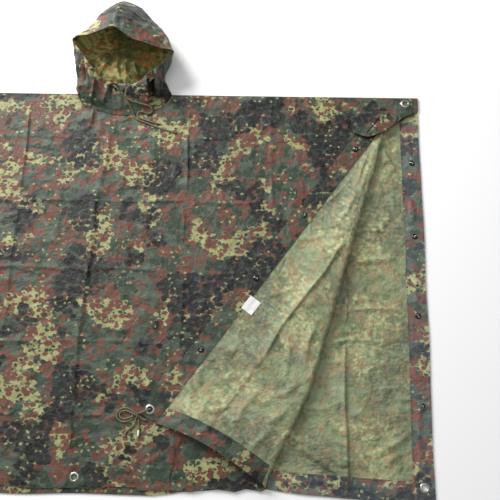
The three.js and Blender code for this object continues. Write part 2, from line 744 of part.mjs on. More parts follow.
function snapGeometry() {
  const { radius, rim, height, sides } = SNAP;
  const profile = [[0, 0], [radius, 0], [radius, height / 3], [rim, height], [0, height]];
  const snap = new THREE.LatheGeometry(profile.map(([x, y]) => new THREE.Vector2(x, y)), sides);
  snap.rotateX(Math.PI / 2);
  return snap;
}

function addSnap(name, place, seat) {
  const mesh = addMesh(name, snapGeometry(), material(COLOURS.snap, 0.4, 0.9));
  mesh.position.set(place.x, place.y, seat);
}

// A round cord swept along its route
function cordGeometry(path, steps) {
  const section = new THREE.Shape(spread(0, CORD_SIDES - 1, CORD_SIDES - 1).map((corner) => {
    const turn = (corner * 2 * Math.PI) / CORD_SIDES;
    return new THREE.Vector2(Math.cos(turn), Math.sin(turn)).multiplyScalar(CORD_DIAMETER / 2);
  }));
  return new THREE.ExtrudeGeometry(section, { steps, bevelEnabled: false, extrudePath: path });
}

// The knot that the tie cord's strands meet, a little lumpy as tightened cord is
function knotGeometry() {
  const knot = new THREE.SphereGeometry(1, 12, 8);
  knot.rotateX(Math.PI / 2);
  knot.scale(...TIE_KNOT.radii);
  knot.translate(...TIE_KNOT.place);
  return knot;
}

// A plain end tip in line with the cord's end
function tipGeometry() {
  const route = TIE_CORDS.end_tipped.map((point) => new THREE.Vector3(...point));
  const [before, end] = route.slice(-2);
  const heading = end.clone().sub(before).normalize();
  const tip = new THREE.CylinderGeometry(TIP.radius, TIP.radius, TIP.length, 8);
  const turn = new THREE.Quaternion().setFromUnitVectors(new THREE.Vector3(0, 1, 0), heading);
  tip.applyQuaternion(turn);
  const middle = end.clone().addScaledVector(heading, TIP.length / 2 + GAP);
  tip.translate(middle.x, middle.y, FRONT_MID + CLOTH / 2 + GAP + TIP.radius);
  return tip;
}

function addCord(name, route) {
  const path = new THREE.CatmullRomCurve3(route.map((point) => new THREE.Vector3(...point)), false, 'centripetal');
  const steps = Math.max(3, Math.round(path.getLength() / (CORD_STEP * CORD_DIAMETER)));
  addMesh(name, cordGeometry(path, steps), cordFinish);
}

// Build

const clothFinish = material(COLOURS.outer, 0.65, 0);
const innerFinish = material(COLOURS.inner, 0.6, 0);
const cordFinish = material(COLOURS.cord, 0.85, 0);

addMesh('back_panel', backPanel(), innerFinish);
const hemInside = HALF_WIDTH - HEM_WIDTH;
const sideHem = backHem([
  [hemInside, -62.5], [HALF_WIDTH, -41.5], [HALF_WIDTH, -BACK_LENGTH], [hemInside, -BACK_LENGTH],
], 6);
addMesh('back_side_hem', cutHole(sideHem, BACK_CORNER_EYELET, 0, 3 * CLOTH), clothFinish);
addMesh('back_bottom_hem', backHem([
  [408, -(BACK_LENGTH - HEM_WIDTH)], [hemInside - GAP, -(BACK_LENGTH - HEM_WIDTH)],
  [hemInside - GAP, -BACK_LENGTH], [408, -BACK_LENGTH],
], 1), clothFinish);

const front = frontPanel();
const frontTopHeight = FRONT_MID + CLOTH / 2;
const cornerEyelet = flapCornerEyelet();
let frontCloth = clothBetween(front.points, front.faces, -CLOTH / 2, CLOTH / 2);
for (const place of [FRONT_MIDDLE_EYELET, FRONT_LEFT_EYELET, ...SHOULDER_EYELETS]) {
  frontCloth = cutHole(frontCloth, place, BACK_MID, FLAP_MID);
}
frontCloth = cutHole(frontCloth, cornerEyelet, frontTopHeight + GAP / 2, 2 * FLAP_MID);
addMesh('front_panel', frontCloth, clothFinish);
addMesh('front_side_hem', cutHole(frontSideHem(front), cornerEyelet, FLAP_MID, 2 * FLAP_MID), clothFinish);
addMesh('front_bottom_hem', frontBottomHem(front), clothFinish);
addMesh('front_shoulder_fold', shoulderFold(), clothFinish);
addMesh('label', label(), material(COLOURS.label, 0.7, 0));

const hood = hoodCloth();
addMesh('hood', clothBetween(hood.points, hood.faces, -CLOTH / 2, CLOTH / 2), clothFinish);
addMesh('hood_casing', clothPatch(hood, casingFaces(hood), HEM_NEAR, HEM_FAR), clothFinish);

addEyelet('eyelet_back_corner', BACK_CORNER_EYELET, CLOTH + 2 * GAP + TURNED_CLOTH, CLOTH + 2 * GAP + TURNED_CLOTH);
addEyelet('eyelet_front_middle', FRONT_MIDDLE_EYELET, frontTopHeight + GAP, CLOTH + GAP);
addEyelet('eyelet_front_left', FRONT_LEFT_EYELET, frontTopHeight + GAP, CLOTH + GAP);
addEyelet('eyelet_shoulder_right', SHOULDER_EYELETS[0], frontTopHeight + GAP, CLOTH + GAP);
addEyelet('eyelet_shoulder_left', SHOULDER_EYELETS[1], frontTopHeight + GAP, CLOTH + GAP);
const flapHemTop = FLAP_MID + CLOTH / 2 + GAP + TURNED_CLOTH;
addEyelet('eyelet_front_corner', cornerEyelet, flapHemTop + GAP, CLOTH + TURNED_CLOTH + 2 * GAP);

BACK_SNAPS.forEach((down, i) => {
  addSnap(`snap_back_${i + 1}`, new THREE.Vector2(HALF_WIDTH - 21, -down), CLOTH + 2 * GAP + TURNED_CLOTH);
});
LEFT_SNAPS.forEach((down, i) => {
  addSnap(`snap_left_${i + 1}`, new THREE.Vector2(-(HALF_WIDTH - 21), -down), frontTopHeight + GAP);
});
FLAP_SNAPS.forEach((along, i) => {
  const place = flapPoint(along, (1 + flapHemLine(along)) / 2);
  addSnap(`snap_front_${i + 1}`, place, place.z + CLOTH / 2 + TURNED_CLOTH + 2 * GAP);
});

addCordEyelet('cord_eyelet_left', CORD_EXITS.left);
addCordEyelet('cord_eyelet_right', CORD_EXITS.right);
addCord('hood_cord_left', HOOD_CORDS.left);
addCord('hood_cord_right', HOOD_CORDS.right);
for (const [name, route] of Object.entries(TIE_CORDS)) {
  addCord(`tie_${name}`, route);
}
addMesh('tie_knot', knotGeometry(), cordFinish);
addMesh('tie_tip', tipGeometry(), material(COLOURS.label, 0.4, 0));

export default poncho;
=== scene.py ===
import math

import bpy
import numpy as np
from mathutils import Matrix, Vector


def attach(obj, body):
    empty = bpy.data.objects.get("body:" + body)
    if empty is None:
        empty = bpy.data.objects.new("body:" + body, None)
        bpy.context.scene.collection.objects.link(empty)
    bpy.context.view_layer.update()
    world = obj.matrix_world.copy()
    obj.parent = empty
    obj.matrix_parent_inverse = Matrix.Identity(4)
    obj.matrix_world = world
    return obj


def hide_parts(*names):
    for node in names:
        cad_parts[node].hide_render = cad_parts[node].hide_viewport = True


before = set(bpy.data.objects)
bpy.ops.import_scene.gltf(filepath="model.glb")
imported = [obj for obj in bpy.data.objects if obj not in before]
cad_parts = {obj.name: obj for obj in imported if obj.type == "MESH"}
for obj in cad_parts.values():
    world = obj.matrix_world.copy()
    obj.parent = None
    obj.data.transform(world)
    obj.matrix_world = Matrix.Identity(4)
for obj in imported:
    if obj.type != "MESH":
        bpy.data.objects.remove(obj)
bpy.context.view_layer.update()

# Garment places are millimetres from the middle of the shoulder line: across, up and height

scene = bpy.context.scene
MM = 0.001
SHOULDER_LINE = 346.5


def in_row(points):
    """Places on the garment as metres in the part's own frame"""
    moved = np.array(points, dtype=float)
    moved[..., 1] += SHOULDER_LINE
    return moved * MM


# Camera

CAMERA_PLACE = (0.3928, -0.4673, 1.5456)
CAMERA_TILT = 0.262822
CAMERA_PAN = 0.022120
CAMERA_ROLL = 0.018396
FOCAL_PIXELS = 680
PHOTO_PIXELS = 500
SENSOR_MM = 36


def make_camera():
    data = bpy.data.cameras.new("photo_camera")
    data.sensor_width = SENSOR_MM
    data.lens = FOCAL_PIXELS * SENSOR_MM / PHOTO_PIXELS
    camera = bpy.data.objects.new("photo_camera", data)
    turn = Matrix.Rotation(CAMERA_TILT, 4, "X") @ Matrix.Rotation(CAMERA_PAN, 4, "Y")
    turn = turn @ Matrix.Rotation(CAMERA_ROLL, 4, "Z")
    camera.matrix_world = Matrix.Translation(CAMERA_PLACE) @ turn
    scene.collection.objects.link(camera)
    scene.camera = camera


make_camera()


# Meshes

SHARP_ANGLE = math.radians(50)


def make_piece(name, points, faces, finishes, which=None, cut=None):
    """A mesh that rides on the garment. cut holds each point's place on the flat cloth."""
    mesh = bpy.data.meshes.new(name)
    mesh.from_pydata(in_row(points).tolist(), [], [list(face) for face in faces])
    for finish in finishes:
        mesh.materials.append(finish)
    if which is not None:
        mesh.polygons.foreach_set("material_index", np.asarray(which, dtype=np.int32))
    if cut is not None:
        corners = np.empty(len(mesh.loops), dtype=np.int32)
        mesh.loops.foreach_get("vertex_index", corners)
        layer = mesh.uv_layers.new(name="cut")
        layer.data.foreach_set("uv", (np.asarray(cut)[corners] * MM).ravel())
    mesh.polygons.foreach_set("use_smooth", np.ones(len(mesh.polygons), dtype=bool))
    mesh.update()
    mesh.set_sharp_from_angle(angle=SHARP_ANGLE)
    piece = bpy.data.objects.new(name, mesh)
    scene.collection.objects.link(piece)
    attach(piece, "root")
    return piece


def stands_for(piece, slot, *nodes):
    """Hides the CAD nodes whose place a piece takes, and returns the piece. slot is not used."""
    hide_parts(*nodes)
    return piece


def side_normals(grid, closed=False):
    """The direction away from the outer side of the cloth, at each point of a grid"""
    down = np.gradient(grid, axis=0)
    if closed:
        along = np.roll(grid, -1, axis=1) - np.roll(grid, 1, axis=1)
    else:
        along = np.gradient(grid, axis=1)
    normal = np.cross(down, along)
    return normal / np.maximum(np.linalg.norm(normal, axis=2, keepdims=True), 1e-9)


def make_cloth(name, grid, cut, finishes, thick=1.0, keep=None, closed=False, floor=None):
    """A shell round a grid in the middle of the cloth, with finishes for its outer, inner and edge"""
    rows, columns = grid.shape[:2]
    normal = side_normals(grid, closed)
    outer = grid + normal * thick / 2
    inner = grid - normal * thick / 2
    if floor is not None:
        inner[..., 2] = floor
    points = np.concatenate([outer.reshape(-1, 3), inner.reshape(-1, 3)])
    places = np.concatenate([cut.reshape(-1, 2)] * 2)
    number = np.arange(rows * columns).reshape(rows, columns)
    if closed:
        number = np.concatenate([number, number[:, :1]], axis=1)
    cells = np.stack([number[:-1, :-1], number[1:, :-1], number[1:, 1:], number[:-1, 1:]], axis=2)
    if keep is not None:
        cells = cells[keep]
    cells = cells.reshape(-1, 4)
    count = rows * columns
    starts = cells.ravel()
    ends = np.roll(cells, -1, axis=1).ravel()
    forward = starts.astype(np.int64) * count + ends
    backward = ends.astype(np.int64) * count + starts
    open_edge = ~np.isin(forward, backward)
    near, far = starts[open_edge], ends[open_edge]
    walls = np.stack([near, near + count, far + count, far], axis=1)
    faces = np.concatenate([cells, cells[:, ::-1] + count, walls])
    which = np.repeat([0, 1, 2], [len(cells), len(cells), len(walls)])
    return make_piece(name, points, faces, finishes, which, places)


def smooth_step(value, low, high):
    share = np.clip((value - low) / (high - low), 0, 1)
    return share * share * (3 - 2 * share)


def smooth_between(t, start, start_slope, end, end_slope):
    """A smooth curve from one value to another, t of the way along"""
    return ((2 * t**3 - 3 * t**2 + 1) * start + (t**3 - 2 * t**2 + t) * start_slope
            + (3 * t**2 - 2 * t**3) * end + (t**3 - t**2) * end_slope)


LATTICE_ROWS = 97
LATTICE_COLUMNS = 89
LATTICE_MIDDLE = (31, 47)


def uneven(across, up, size, seed):
    """Uneven relief from -1 to 1, with humps about one size apart"""
    lattice = np.random.RandomState(seed).uniform(-1, 1, (LATTICE_ROWS, LATTICE_COLUMNS))
    u, v = across / size + LATTICE_MIDDLE[0], up / size + LATTICE_MIDDLE[1]
    i, j = np.floor(u).astype(int), np.floor(v).astype(int)
    f, g = u - i, v - j
    f, g = f * f * (3 - 2 * f), g * g * (3 - 2 * g)

    def at(a, b):
        return lattice[a % LATTICE_ROWS, b % LATTICE_COLUMNS]

    near = at(i, j) * (1 - f) + at(i + 1, j) * f
    far = at(i, j + 1) * (1 - f) + at(i + 1, j + 1) * f
    return near * (1 - g) + far * g


CREASE_REACH = 4
CREASE_TAPER = 0.45
CREASE_EDGE = 1.6
SWELL_LENGTHS = (19, 43)


def crease_height(across, up, line, width, height, lean=0.0):
    """An uneven ridge, or a trough below 0, that dies out at both ends; lean steepens one side"""
    line = np.array(line, dtype=float)
    out = np.zeros_like(across)
    reach = CREASE_REACH * width
    low, high = line.min(axis=0) - reach, line.max(axis=0) + reach
    near = (across > low[0]) & (across < high[0]) & (up > low[1]) & (up < high[1])
    if not near.any():
        return out
    x, y = across[near], up[near]
    lengths = np.linalg.norm(np.diff(line, axis=0), axis=1)
    total = lengths.sum()
    best = np.full(x.shape, 1e9)
    side, place = np.zeros_like(x), np.zeros_like(x)
    start = 0.0
    for (ax, ay), (bx, by), length in zip(line[:-1], line[1:], lengths):
        dx, dy = (bx - ax) / length, (by - ay) / length
        run = np.clip((x - ax) * dx + (y - ay) * dy, 0, length)
        off = np.hypot(x - ax - run * dx, y - ay - run * dy)
        closer = off < best
        best = np.where(closer, off, best)
        side = np.where(closer, np.sign((x - ax) * dy - (y - ay) * dx), side)
        place = np.where(closer, (start + run) / total, place)
        start += length
    ends = np.clip(np.sin(math.pi * np.clip(place, 0.001, 0.999)), 0, 1) ** CREASE_TAPER
    short, long = SWELL_LENGTHS
    swell = 0.8 + 0.3 * np.sin(place * total / short + line[0, 0]) * np.sin(place * total / long + 1)
    narrow = width * (1 + lean * side)
    out[near] = height * ends * swell * np.exp(-((best / narrow) ** CREASE_EDGE))
    return out


# The print on the cloth: six tones in round spots that run together

def tone(red, green, blue):
    """A colour by its numbers on a screen, as the shader's own values"""
    values = [c / 255 for c in (red, green, blue)]
    return tuple(c / 12.92 if c <= 0.04045 else ((c + 0.055) / 1.055) ** 2.4 for c in values) + (1.0,)


class Finish:
    """A material that is built up node by node"""

    def __init__(self, name):
        self.material = bpy.data.materials.new(name)
        self.material.use_nodes = True
        self.tree = self.material.node_tree
        self.shader = self.tree.nodes["Principled BSDF"]

    def add(self, kind, settings, inputs, out=0):
        node = self.tree.nodes.new(kind)
        for key, value in settings.items():
            setattr(node, key, value)
        self.fill(node, inputs)
        return Signal(self, node.outputs[out])

    def fill(self, node, inputs):
        for key, value in inputs.items():
            if isinstance(value, Signal):
                self.tree.links.new(value.socket, node.inputs[key])
            else:
                node.inputs[key].default_value = value

    def shade(self, **inputs):
        self.fill(self.shader, {key.replace("_", " "): value for key, value in inputs.items()})

    def mix(self, factor, first, second):
        return self.add("ShaderNodeMix", {"data_type": "RGBA"}, {0: factor, 6: first, 7: second}, 2)

    def shift(self, vector, offset):
        return self.add("ShaderNodeVectorMath", {"operation": "ADD"}, {0: vector, 1: offset})

    def stretch(self, vector, scale):
        return self.add("ShaderNodeVectorMath", {"operation": "MULTIPLY"}, {0: vector, 1: scale})

    def noise(self, vector, size, detail=2.0, kind="FBM", flat="2D", rough=0.5, out=0):
        settings = {"noise_dimensions": flat, "noise_type": kind}
        values = {"Vector": vector, "Scale": 1 / size, "Detail": detail, "Roughness": rough}
        return self.add("ShaderNodeTexNoise", settings, values, out)

    def bump(self, height, strength, distance):
        inputs = {"Height": height, "Strength": strength, "Distance": distance}
        self.shade(Normal=self.add("ShaderNodeBump", {}, inputs))


class Signal:
    """A node's output, which adds Math nodes when it takes part in a sum"""

    def __init__(self, finish, socket):
        self.finish = finish
        self.socket = socket

    def math(self, operation, *values):
        inputs = dict(enumerate(values))
        return self.finish.add("ShaderNodeMath", {"operation": operation}, inputs)

    def __add__(self, other):
        return self.math("ADD", self, other)

    def __radd__(self, other):
        return self.math("ADD", other, self)

    def __sub__(self, other):
        return self.math("SUBTRACT", self, other)

    def __rsub__(self, other):
        return self.math("SUBTRACT", other, self)

    def __mul__(self, other):
        return self.math("MULTIPLY", self, other)

    def clamped(self):
        return self.finish.add("ShaderNodeClamp", {}, {"Value": self})


def print_tones(*colours):
    """The print's tones by name: ground, slate, green, brown, black and light"""
    names = ("ground", "slate", "green", "brown", "black", "light")
    return {name: tone(*colour) for name, colour in zip(names, colours)}


OUTER_TONES = print_tones((80, 89, 74), (66, 73, 69), (52, 64, 51), (108, 67, 56), (27, 24, 29),
                          (158, 156, 107))
# Lighter, lower-contrast copy of the outer tones: painted sheen for the back panel's hems, the same cloth
# where it catches more light
SHEEN_LIT_TONES = print_tones((106, 115, 104), (90, 99, 100), (72, 86, 80), (128, 86, 77), (58, 60, 68),
                         (172, 172, 126))
INNER_TONES = print_tones((139, 149, 114), (119, 124, 103), (110, 120, 79), (155, 129, 95),
                          (86, 92, 76), (174, 177, 130))
LINING_TONES = print_tones((100, 100, 54), (80, 84, 57), (68, 74, 34), (144, 96, 52), (46, 48, 36),
                           (158, 154, 98))
EDGE_SHADE = 0.7
EDGE_TONES = {
    key: tuple(EDGE_SHADE * part for part in value[:3]) + (1.0,) for key, value in OUTER_TONES.items()
}
PRINT_SCALE = (1.1, 1.35, 1)
SPOT_WANDER = (0.008, 0.006, 0)
DRAWN_OUT = (1, 2.2, 1)
STREAKED = (1, 2.8, 1)


def spotted(finish, tones, crisp):
    """The print's colour at each place on the flat cloth. A larger crisp gives sharper spots."""
    flat = finish.add("ShaderNodeUVMap", {"uv_map": "cut"}, {})
    wander = finish.noise(flat, 0.009, 2, out=1)
    wander = finish.stretch(finish.shift(wander, (-0.5, -0.5, -0.5)), SPOT_WANDER)
    place = finish.stretch(finish.shift(flat, wander), PRINT_SCALE)

    def dots(size, seed):
        """The distance to the nearest spot's middle, where that is, and a number for the spot"""
        away = (seed * 0.37, seed * 0.71, 0)
        settings = {"voronoi_dimensions": "2D", "feature": "F1"}
        inputs = {"Vector": finish.shift(place, away), "Scale": 1 / size, "Randomness": 0.95}
        near = finish.add("ShaderNodeTexVoronoi", settings, inputs)
        spot = near.socket.node.outputs
        middle = finish.shift(Signal(finish, spot["Position"]), (-away[0], -away[1], 0))
        return near, middle, Signal(finish, spot["Color"])

    def field(at, size, seed, detail=3.0):
        return finish.noise(finish.shift(at, (seed * 1.7, seed * 2.3, 0)), size, detail)

    def above(value, level, slope=60):
        return ((value - level) * slope).clamped()

    def patches(size, seed, spread, cover, reach, blur=1.0):
        """Spots of one size, only where a wider field stands above cover"""
        near, middle, _ = dots(size, seed)
        return above(reach, near, crisp * blur) * above(field(middle, spread, seed), cover)

    drawn_out = finish.stretch(place, DRAWN_OUT)
    slate = above(field(drawn_out, size=0.07, seed=1), level=0.5, slope=7)
    colour = finish.mix(slate, tones["ground"], tones["slate"])
    green = patches(size=0.015, seed=2, spread=0.07, cover=0.5, reach=0.7)
    colour = finish.mix(green, colour, tones["green"])
    brown = patches(size=0.014, seed=3, spread=0.052, cover=0.53, reach=0.66)
    colour = finish.mix(brown, colour, tones["brown"])

    near, middle, _ = dots(size=0.013, seed=4)
    light_ground = field(middle, size=0.12, seed=4, detail=3.5)
    light = above(0.7, near, crisp) * above(light_ground, 0.553)
    colour = finish.mix(light, colour, tones["light"])
    near, middle, number = dots(size=0.0152, seed=5)
    on_light = field(middle, size=0.12, seed=4, detail=3.5)
    spots = above(number * 0.92, near, crisp) * above(on_light, 0.5)
    colour = finish.mix(spots, colour, finish.mix(above(number, 0.5), tones["green"], tones["brown"]))

    mottle = above(field(drawn_out, size=0.016, seed=9, detail=4.0), level=0.5, slope=5)
    dark = finish.mix(mottle * 0.4, tones["black"], tones["slate"])
    blots = patches(size=0.015, seed=6, spread=0.17, cover=0.545, reach=0.72, blur=0.5)
    colour = finish.mix(blots, colour, dark)
    long = finish.stretch(place, STREAKED)
    streaks = above(field(long, size=0.024, seed=7, detail=4.0), level=0.47, slope=5)
    streaks = streaks * above(field(place, size=0.17, seed=6), level=0.5, slope=8)
    colour = finish.mix(streaks * (1 - light) * 0.8, colour, dark)

    near, middle, number = dots(size=0.017, seed=8)
    ragged = field(place, size=0.006, seed=10, detail=2.0)
    some = above(number, 0.56) * above(field(middle, size=0.09, seed=8, detail=2.0), 0.52)
    specks = above(ragged * 0.5, near, crisp) * some
    return finish.mix(specks * 0.85, colour, tones["light"]), flat


def cloth_finish(name, tones, crisp, fade, sheen, rough, crumple, painted_glow=0.0):
    """Coated nylon: the print, uneven dye, a soft sheen and fine crumples; painted_glow adds painted light,
    the cloth emitting its own colour in place of light through it
    """
    finish = Finish(name)
    colour, flat = spotted(finish, tones, crisp)
    cloud = finish.noise(flat, 0.05, 4, rough=0.6)
    colour = finish.mix((cloud * 1.6 - 0.5).clamped() * fade, colour, tones["ground"])
    worn = finish.noise(flat, 0.11, 5, rough=0.65)
    finish.shade(
        Base_Color=finish.mix((worn * 2.2 - 0.85).clamped() * 0.2, colour, tones["slate"]),
        Roughness=rough + (cloud - 0.5) * 0.3,
        Specular_IOR_Level=sheen,
    )
    # Painted light: the cloth glows with its own print colour, standing in for light through the thin cloth
    if painted_glow:
        finish.shade(Emission_Color=colour, Emission_Strength=painted_glow)
    bent = finish.shift(flat, finish.stretch(finish.noise(flat, 0.06, 2, out=1), (0.03, 0.03, 0)))
    folds = finish.noise(bent, 0.035, 3, kind="RIDGED_MULTIFRACTAL", rough=0.55)
    fine = finish.noise(bent, 0.009, 3, rough=0.6)
    weave = finish.noise(finish.stretch(flat, (1, 3.2, 1)), 0.0016, 1)
    finish.bump(folds * 0.6 + fine * 0.35 + weave * 0.03, crumple, 0.012)
    return finish.material


OUTER = cloth_finish("outer_cloth", OUTER_TONES, crisp=8, fade=0.26, sheen=0.22, rough=0.5, crumple=0.6)
# The hood's lining glows: painted light that brightens the inside of the hood
LINING = cloth_finish("hood_inner_cloth", LINING_TONES, crisp=2.6, fade=0.4, sheen=0.3, rough=0.5,
                      crumple=0.8, painted_glow=0.15)
INNER = cloth_finish("inner_cloth", INNER_TONES, crisp=2.1, fade=0.6, sheen=0.3, rough=0.48, crumple=0.7)
EDGE = cloth_finish("cloth_edge", EDGE_TONES, crisp=4, fade=0.5, sheen=0.1, rough=0.8, crumple=0.2)
# Painted sheen: the outer print in lighter tones, for the back panel's hems
PAINTED_SHEEN_CLOTH = cloth_finish("hem_cloth", SHEEN_LIT_TONES, crisp=8, fade=0.3, sheen=0.22, rough=0.5, crumple=0.6)
CLOTH_SIDES = (OUTER, INNER, EDGE)
BACK_SIDES = (INNER, OUTER, EDGE)
HOOD_SIDES = (OUTER, LINING, EDGE)
HEM_SIDES = (OUTER, OUTER, EDGE)
PAINTED_SHEEN_HEM_SIDES = (PAINTED_SHEEN_CLOTH, PAINTED_SHEEN_CLOTH, EDGE)

# The cloth's thickness, and the heights at which its layers lie
SHELL = 1.0
BACK_TOP = 2.0
FRONT_HEIGHT = 3.8
FLAP_HEIGHT = 6.4
HEM_LIFT = 1.2
HEM_SHELL = 0.8

HALF_WIDTH = 765.0
BACK_LENGTH = 950.0
FRONT_LENGTH = 936.0
HEM_WIDTH = 45.0


# Creases, each as its line, width, height and lean

FRONT_CREASES = [
    ([(3, -60), (3, -170), (-16, -282), (-14, -394), (-19, -443), (-24, -526), (-30, -630),
      (-27, -719), (-28, -785), (-26, -850)], 5, 3.2, 0.3),
    ([(-28, -770), (-24, -850), (-13, -922)], 7, 4.0, -0.3),
    ([(0, -150), (3, -233), (-15, -287)], 11, 1.6, 0),
    ([(198, -60), (198, -133), (202, -201), (202, -256)], 4, 2.6, 0.4),
    ([(192, -284), (198, -331), (199, -390)], 4, 2.2, -0.4),
    ([(199, -420), (205, -520), (203, -640)], 5, 1.3, 0),
    ([(194, -820), (201, -857), (206, -884)], 5, 3.4, 0.4),
    ([(399, -5), (403, -127), (404, -190)], 4.5, 1.6, 0),
    ([(405, -196), (409, -250), (408, -300)], 4, 2.4, 0.3),
    ([(586, -60), (586, -93), (587, -136)], 4, 2.4, 0.3),
    ([(108, -283), (124, -282), (158, -280), (194, -280)], 4, 2.6, 0.3),
    ([(-8, -284), (50, -285), (100, -283)], 5, 1.5, 0),
    ([(205, -282), (300, -287), (372, -280)], 5, 1.4, 0),
    ([(206, -116), (250, -118), (302, -118)], 4, 1.8, 0),
    ([(10, -120), (90, -117), (180, -121)], 5, 1.1, 0),
    ([(-20, -452), (60, -449), (170, -455)], 5, 1.5, 0),
    ([(-30, -622), (70, -619), (190, -626)], 5, 1.3, 0),
    ([(-26, -786), (40, -783), (64, -815)], 5, 1.6, 0),
    ([(-71, 10), (-58, -20), (-51, -40)], 5, 4.0, 0.2),
    ([(-55, -46), (-60, -62), (-68, -80)], 4, 3.2, 0),
    ([(-38, -40), (-43, -62), (-48, -92)], 5, 3.6, 0.3),
    ([(-20, -62), (-22, -84), (-20, -112)], 5, 1.8, 0),
    ([(140, -44), (162, -52), (190, -50)], 5, 1.6, 0),
    ([(210, -12), (330, -20), (420, -14)], 9, 1.3, 0),
    ([(240, -150), (310, -186), (352, -240)], 8, 1.6, 0),
    ([(60, -170), (110, -220), (176, -262)], 8, 1.6, 0),
    ([(214, -320), (276, -352), (330, -420)], 8, 1.6, 0),
    ([(30, -330), (66, -392), (72, -440)], 8, 1.5, 0),
    ([(86, -480), (140, -540), (150, -596)], 8, 1.6, 0),
    ([(10, -660), (70, -700), (150, -720)], 9, 1.5, 0),
    ([(236, -872), (300, -900), (340, -922)], 8, 2.0, 0),
    ([(450, -60), (520, -84), (560, -50)], 8, 1.5, 0),
    # The half that lies plainly, creased by the same packing
    ([(-202, -40), (-198, -160), (-203, -270)], 4, 2.4, 0.3),
    ([(-200, -300), (-206, -420), (-202, -540), (-207, -650)], 5, 1.8, 0),
    ([(-203, -690), (-198, -800), (-204, -915)], 5, 2.4, 0.3),
    ([(-404, -20), (-400, -170), (-406, -300)], 5, 2.0, 0),
    ([(-405, -340), (-399, -500), (-404, -640), (-402, -900)], 5, 2.2, 0.2),
    ([(-590, -30), (-586, -210), (-592, -380)], 5, 1.9, 0),
    ([(-590, -420), (-584, -600), (-590, -780), (-588, -920)], 5, 2.2, 0.2),
    ([(-30, -284), (-120, -282), (-196, -286)], 5, 2.2, 0),
    ([(-210, -282), (-330, -286), (-560, -281)], 5, 1.7, 0),
    ([(-30, -452), (-190, -449), (-380, -455), (-740, -450)], 5, 1.7, 0),
    ([(-36, -620), (-200, -624), (-420, -618), (-745, -622)], 5, 1.9, 0),
    ([(-34, -786), (-210, -783), (-400, -789), (-700, -785)], 5, 1.7, 0),
    ([(-100, -118), (-240, -116), (-390, -120), (-700, -117)], 5, 1.7, 0),
    ([(-250, -150), (-310, -210), (-370, -260)], 9, 2.0, 0),
    ([(-640, -150), (-520, -230), (-430, -270)], 9, 2.0, 0),
    ([(-130, -330), (-100, -400), (-60, -440)], 8, 1.8, 0),
    ([(-260, -480), (-310, -560), (-330, -610)], 9, 2.0, 0),
    ([(-700, -500), (-640, -560), (-620, -610)], 9, 2.0, 0),
    ([(-120, -660), (-150, -720), (-180, -770)], 8, 1.8, 0),
    ([(-460, -820), (-520, -870), (-560, -930)], 9, 2.4, 0),
    ([(-100, -820), (-140, -880), (-150, -930)], 8, 2.2, 0),
]

FRONT_PINCHES = [
    [(587, -36), (617, -51), (650, -70)],
    [(712, -19), (740, -36)],
    [(59, -809), (73, -837), (62, -880), (48, -924), (46, -939)],
    [(76, -846), (93, -879), (110, -895), (128, -939)],
    [(193, -803), (196, -827), (200, -855), (206, -885), (198, -910), (203, -938)],
    [(-24, -770), (-20, -839), (-17, -877), (-21, -905)],
]
SHOULDER_PINCHES = [
    [(681, -42), (658, -76), (636, -104)],
    [(668, -30), (684, -42), (676, -62)],
    [(700, -44), (716, -58), (706, -76)],
]


def pinched(lines, ridge, trough):
    """Each line as a broad ridge with a narrow trough along it"""
    return [(line, *shape, 0) for shape in (ridge, trough) for line in lines]


